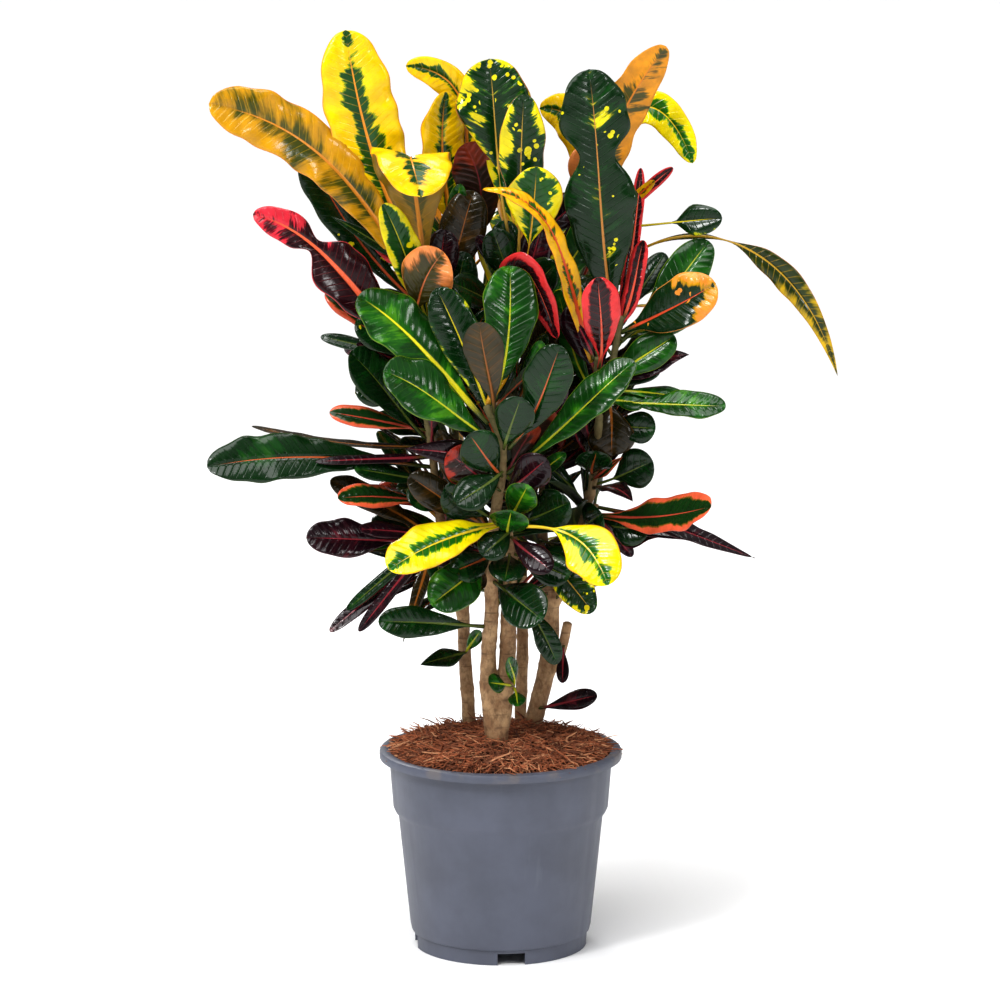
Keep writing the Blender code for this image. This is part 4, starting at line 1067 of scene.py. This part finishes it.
def addFibres():
    chance = np.random.default_rng(coirLook["seed"])
    strand = fibreBlank()
    unitPlaces = readPoints(strand)
    unitFaces = [tuple(face.vertices) for face in strand.polygons]
    top = meshTree(["coir_topping"])
    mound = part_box("coir_topping")[1].z
    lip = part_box("pot")[1].z
    allPlaces, allFaces, allUv = [], [], []
    for index in range(coirLook["fibres"]):
        loose = chance.random() < coirLook["overhang"]
        reach = chance.uniform(0.90, 1.0) if loose else math.sqrt(chance.random()) * 0.985
        radius = coirLook["edge"] * reach
        angle = chance.uniform(0, math.tau)
        if loose and chance.random() < 0.6:
            angle = chance.normal(math.radians(coirLook["side"]), 0.45)
        place = np.array([radius * math.cos(angle), radius * math.sin(angle), 0.0])
        hit = top.ray_cast(Vector((place[0], place[1], mound + 0.1)), Vector((0, 0, -1)))
        ground = hit[0].z if hit[0] else lip
        heading = angle + chance.normal(0, 0.5) if loose else chance.uniform(0, math.tau)
        tilt = chance.normal(0.1, 0.25) + (0.12 if loose else 0.0)
        level = math.cos(tilt)
        way = np.array([math.cos(heading) * level, math.sin(heading) * level, math.sin(tilt)])
        length = chance.uniform(*coirLook["length"]) * (0.6 if loose else 1.0)
        if radius + length * 0.5 > coirLook["edge"] and not loose:
            way[:2] = -place[:2] / radius * abs(level)
        thick = chance.uniform(*coirLook["radius"])
        side = unit(np.cross(way, [0, 0, 1.0]))
        above = np.cross(side, way)
        bend, hump = chance.normal(0, 0.20), chance.uniform(0.05, 0.22)
        along = unitPlaces[:, 2]
        taper = 1 - 0.5 * np.abs(along * 2) ** 2
        curl = 0.25 - along ** 2
        twist = np.sin(along * 9 + index) * 0.05
        start = place + np.array([0, 0, ground + chance.uniform(-0.0012, 0.0032) + abs(tilt) * length * 0.2])
        aside = curl * bend * length * 2 + twist * length + unitPlaces[:, 0] * thick * taper
        upwards = curl * hump * length + unitPlaces[:, 1] * thick * taper
        strandPlaces = (start + way * (along * length)[:, None] + side * aside[:, None]
                        + above * upwards[:, None])
        offset = len(allPlaces) * len(unitPlaces)
        allPlaces.append(strandPlaces)
        allFaces += [tuple(i + offset for i in face) for face in unitFaces]
        allUv.append(chance.random())
    mesh = bpy.data.meshes.new("coirFibres")
    mesh.from_pydata(np.concatenate(allPlaces).tolist(), [], allFaces)
    layer = mesh.uv_layers.new(name="fibre")
    tone = np.array(allUv)[readCorners(mesh) // len(unitPlaces)]
    layer.data.foreach_set("uv", np.stack([tone, tone], 1).ravel())
    mesh.materials.append(coirMaterial("coirFibre", True))
    mesh.shade_smooth()
    settle(linked("coir_fibres", mesh), "coir")
    print(coirLook["fibres"], "coir fibres")


soilLook = {"dark": (22, 16, 12), "pale": (74, 54, 40)}


def finishSoil():
    nodes = MaterialNodes("pottingSoil")
    crumbs = nodes.noise(nodes.objectPlace(), 260.0, 5.0, 0.7)
    nodes.set("Base Color", nodes.mix(crumbs, soilLook["dark"], soilLook["pale"]))
    nodes.set("Roughness", 0.95)
    nodes.bump(crumbs, 0.002, 0.8)
    materials = frame["nodes"]["soil"].data.materials
    materials.clear()
    materials.append(nodes.material)
    print("soil")


addCamera()
addStudio()
addFineLeaves()
addPot()
finishSoil()
addTopping()
addStems()
smallTree = addSmallLeaves()
addFillers([leafTree, smallTree])
joinGrown()
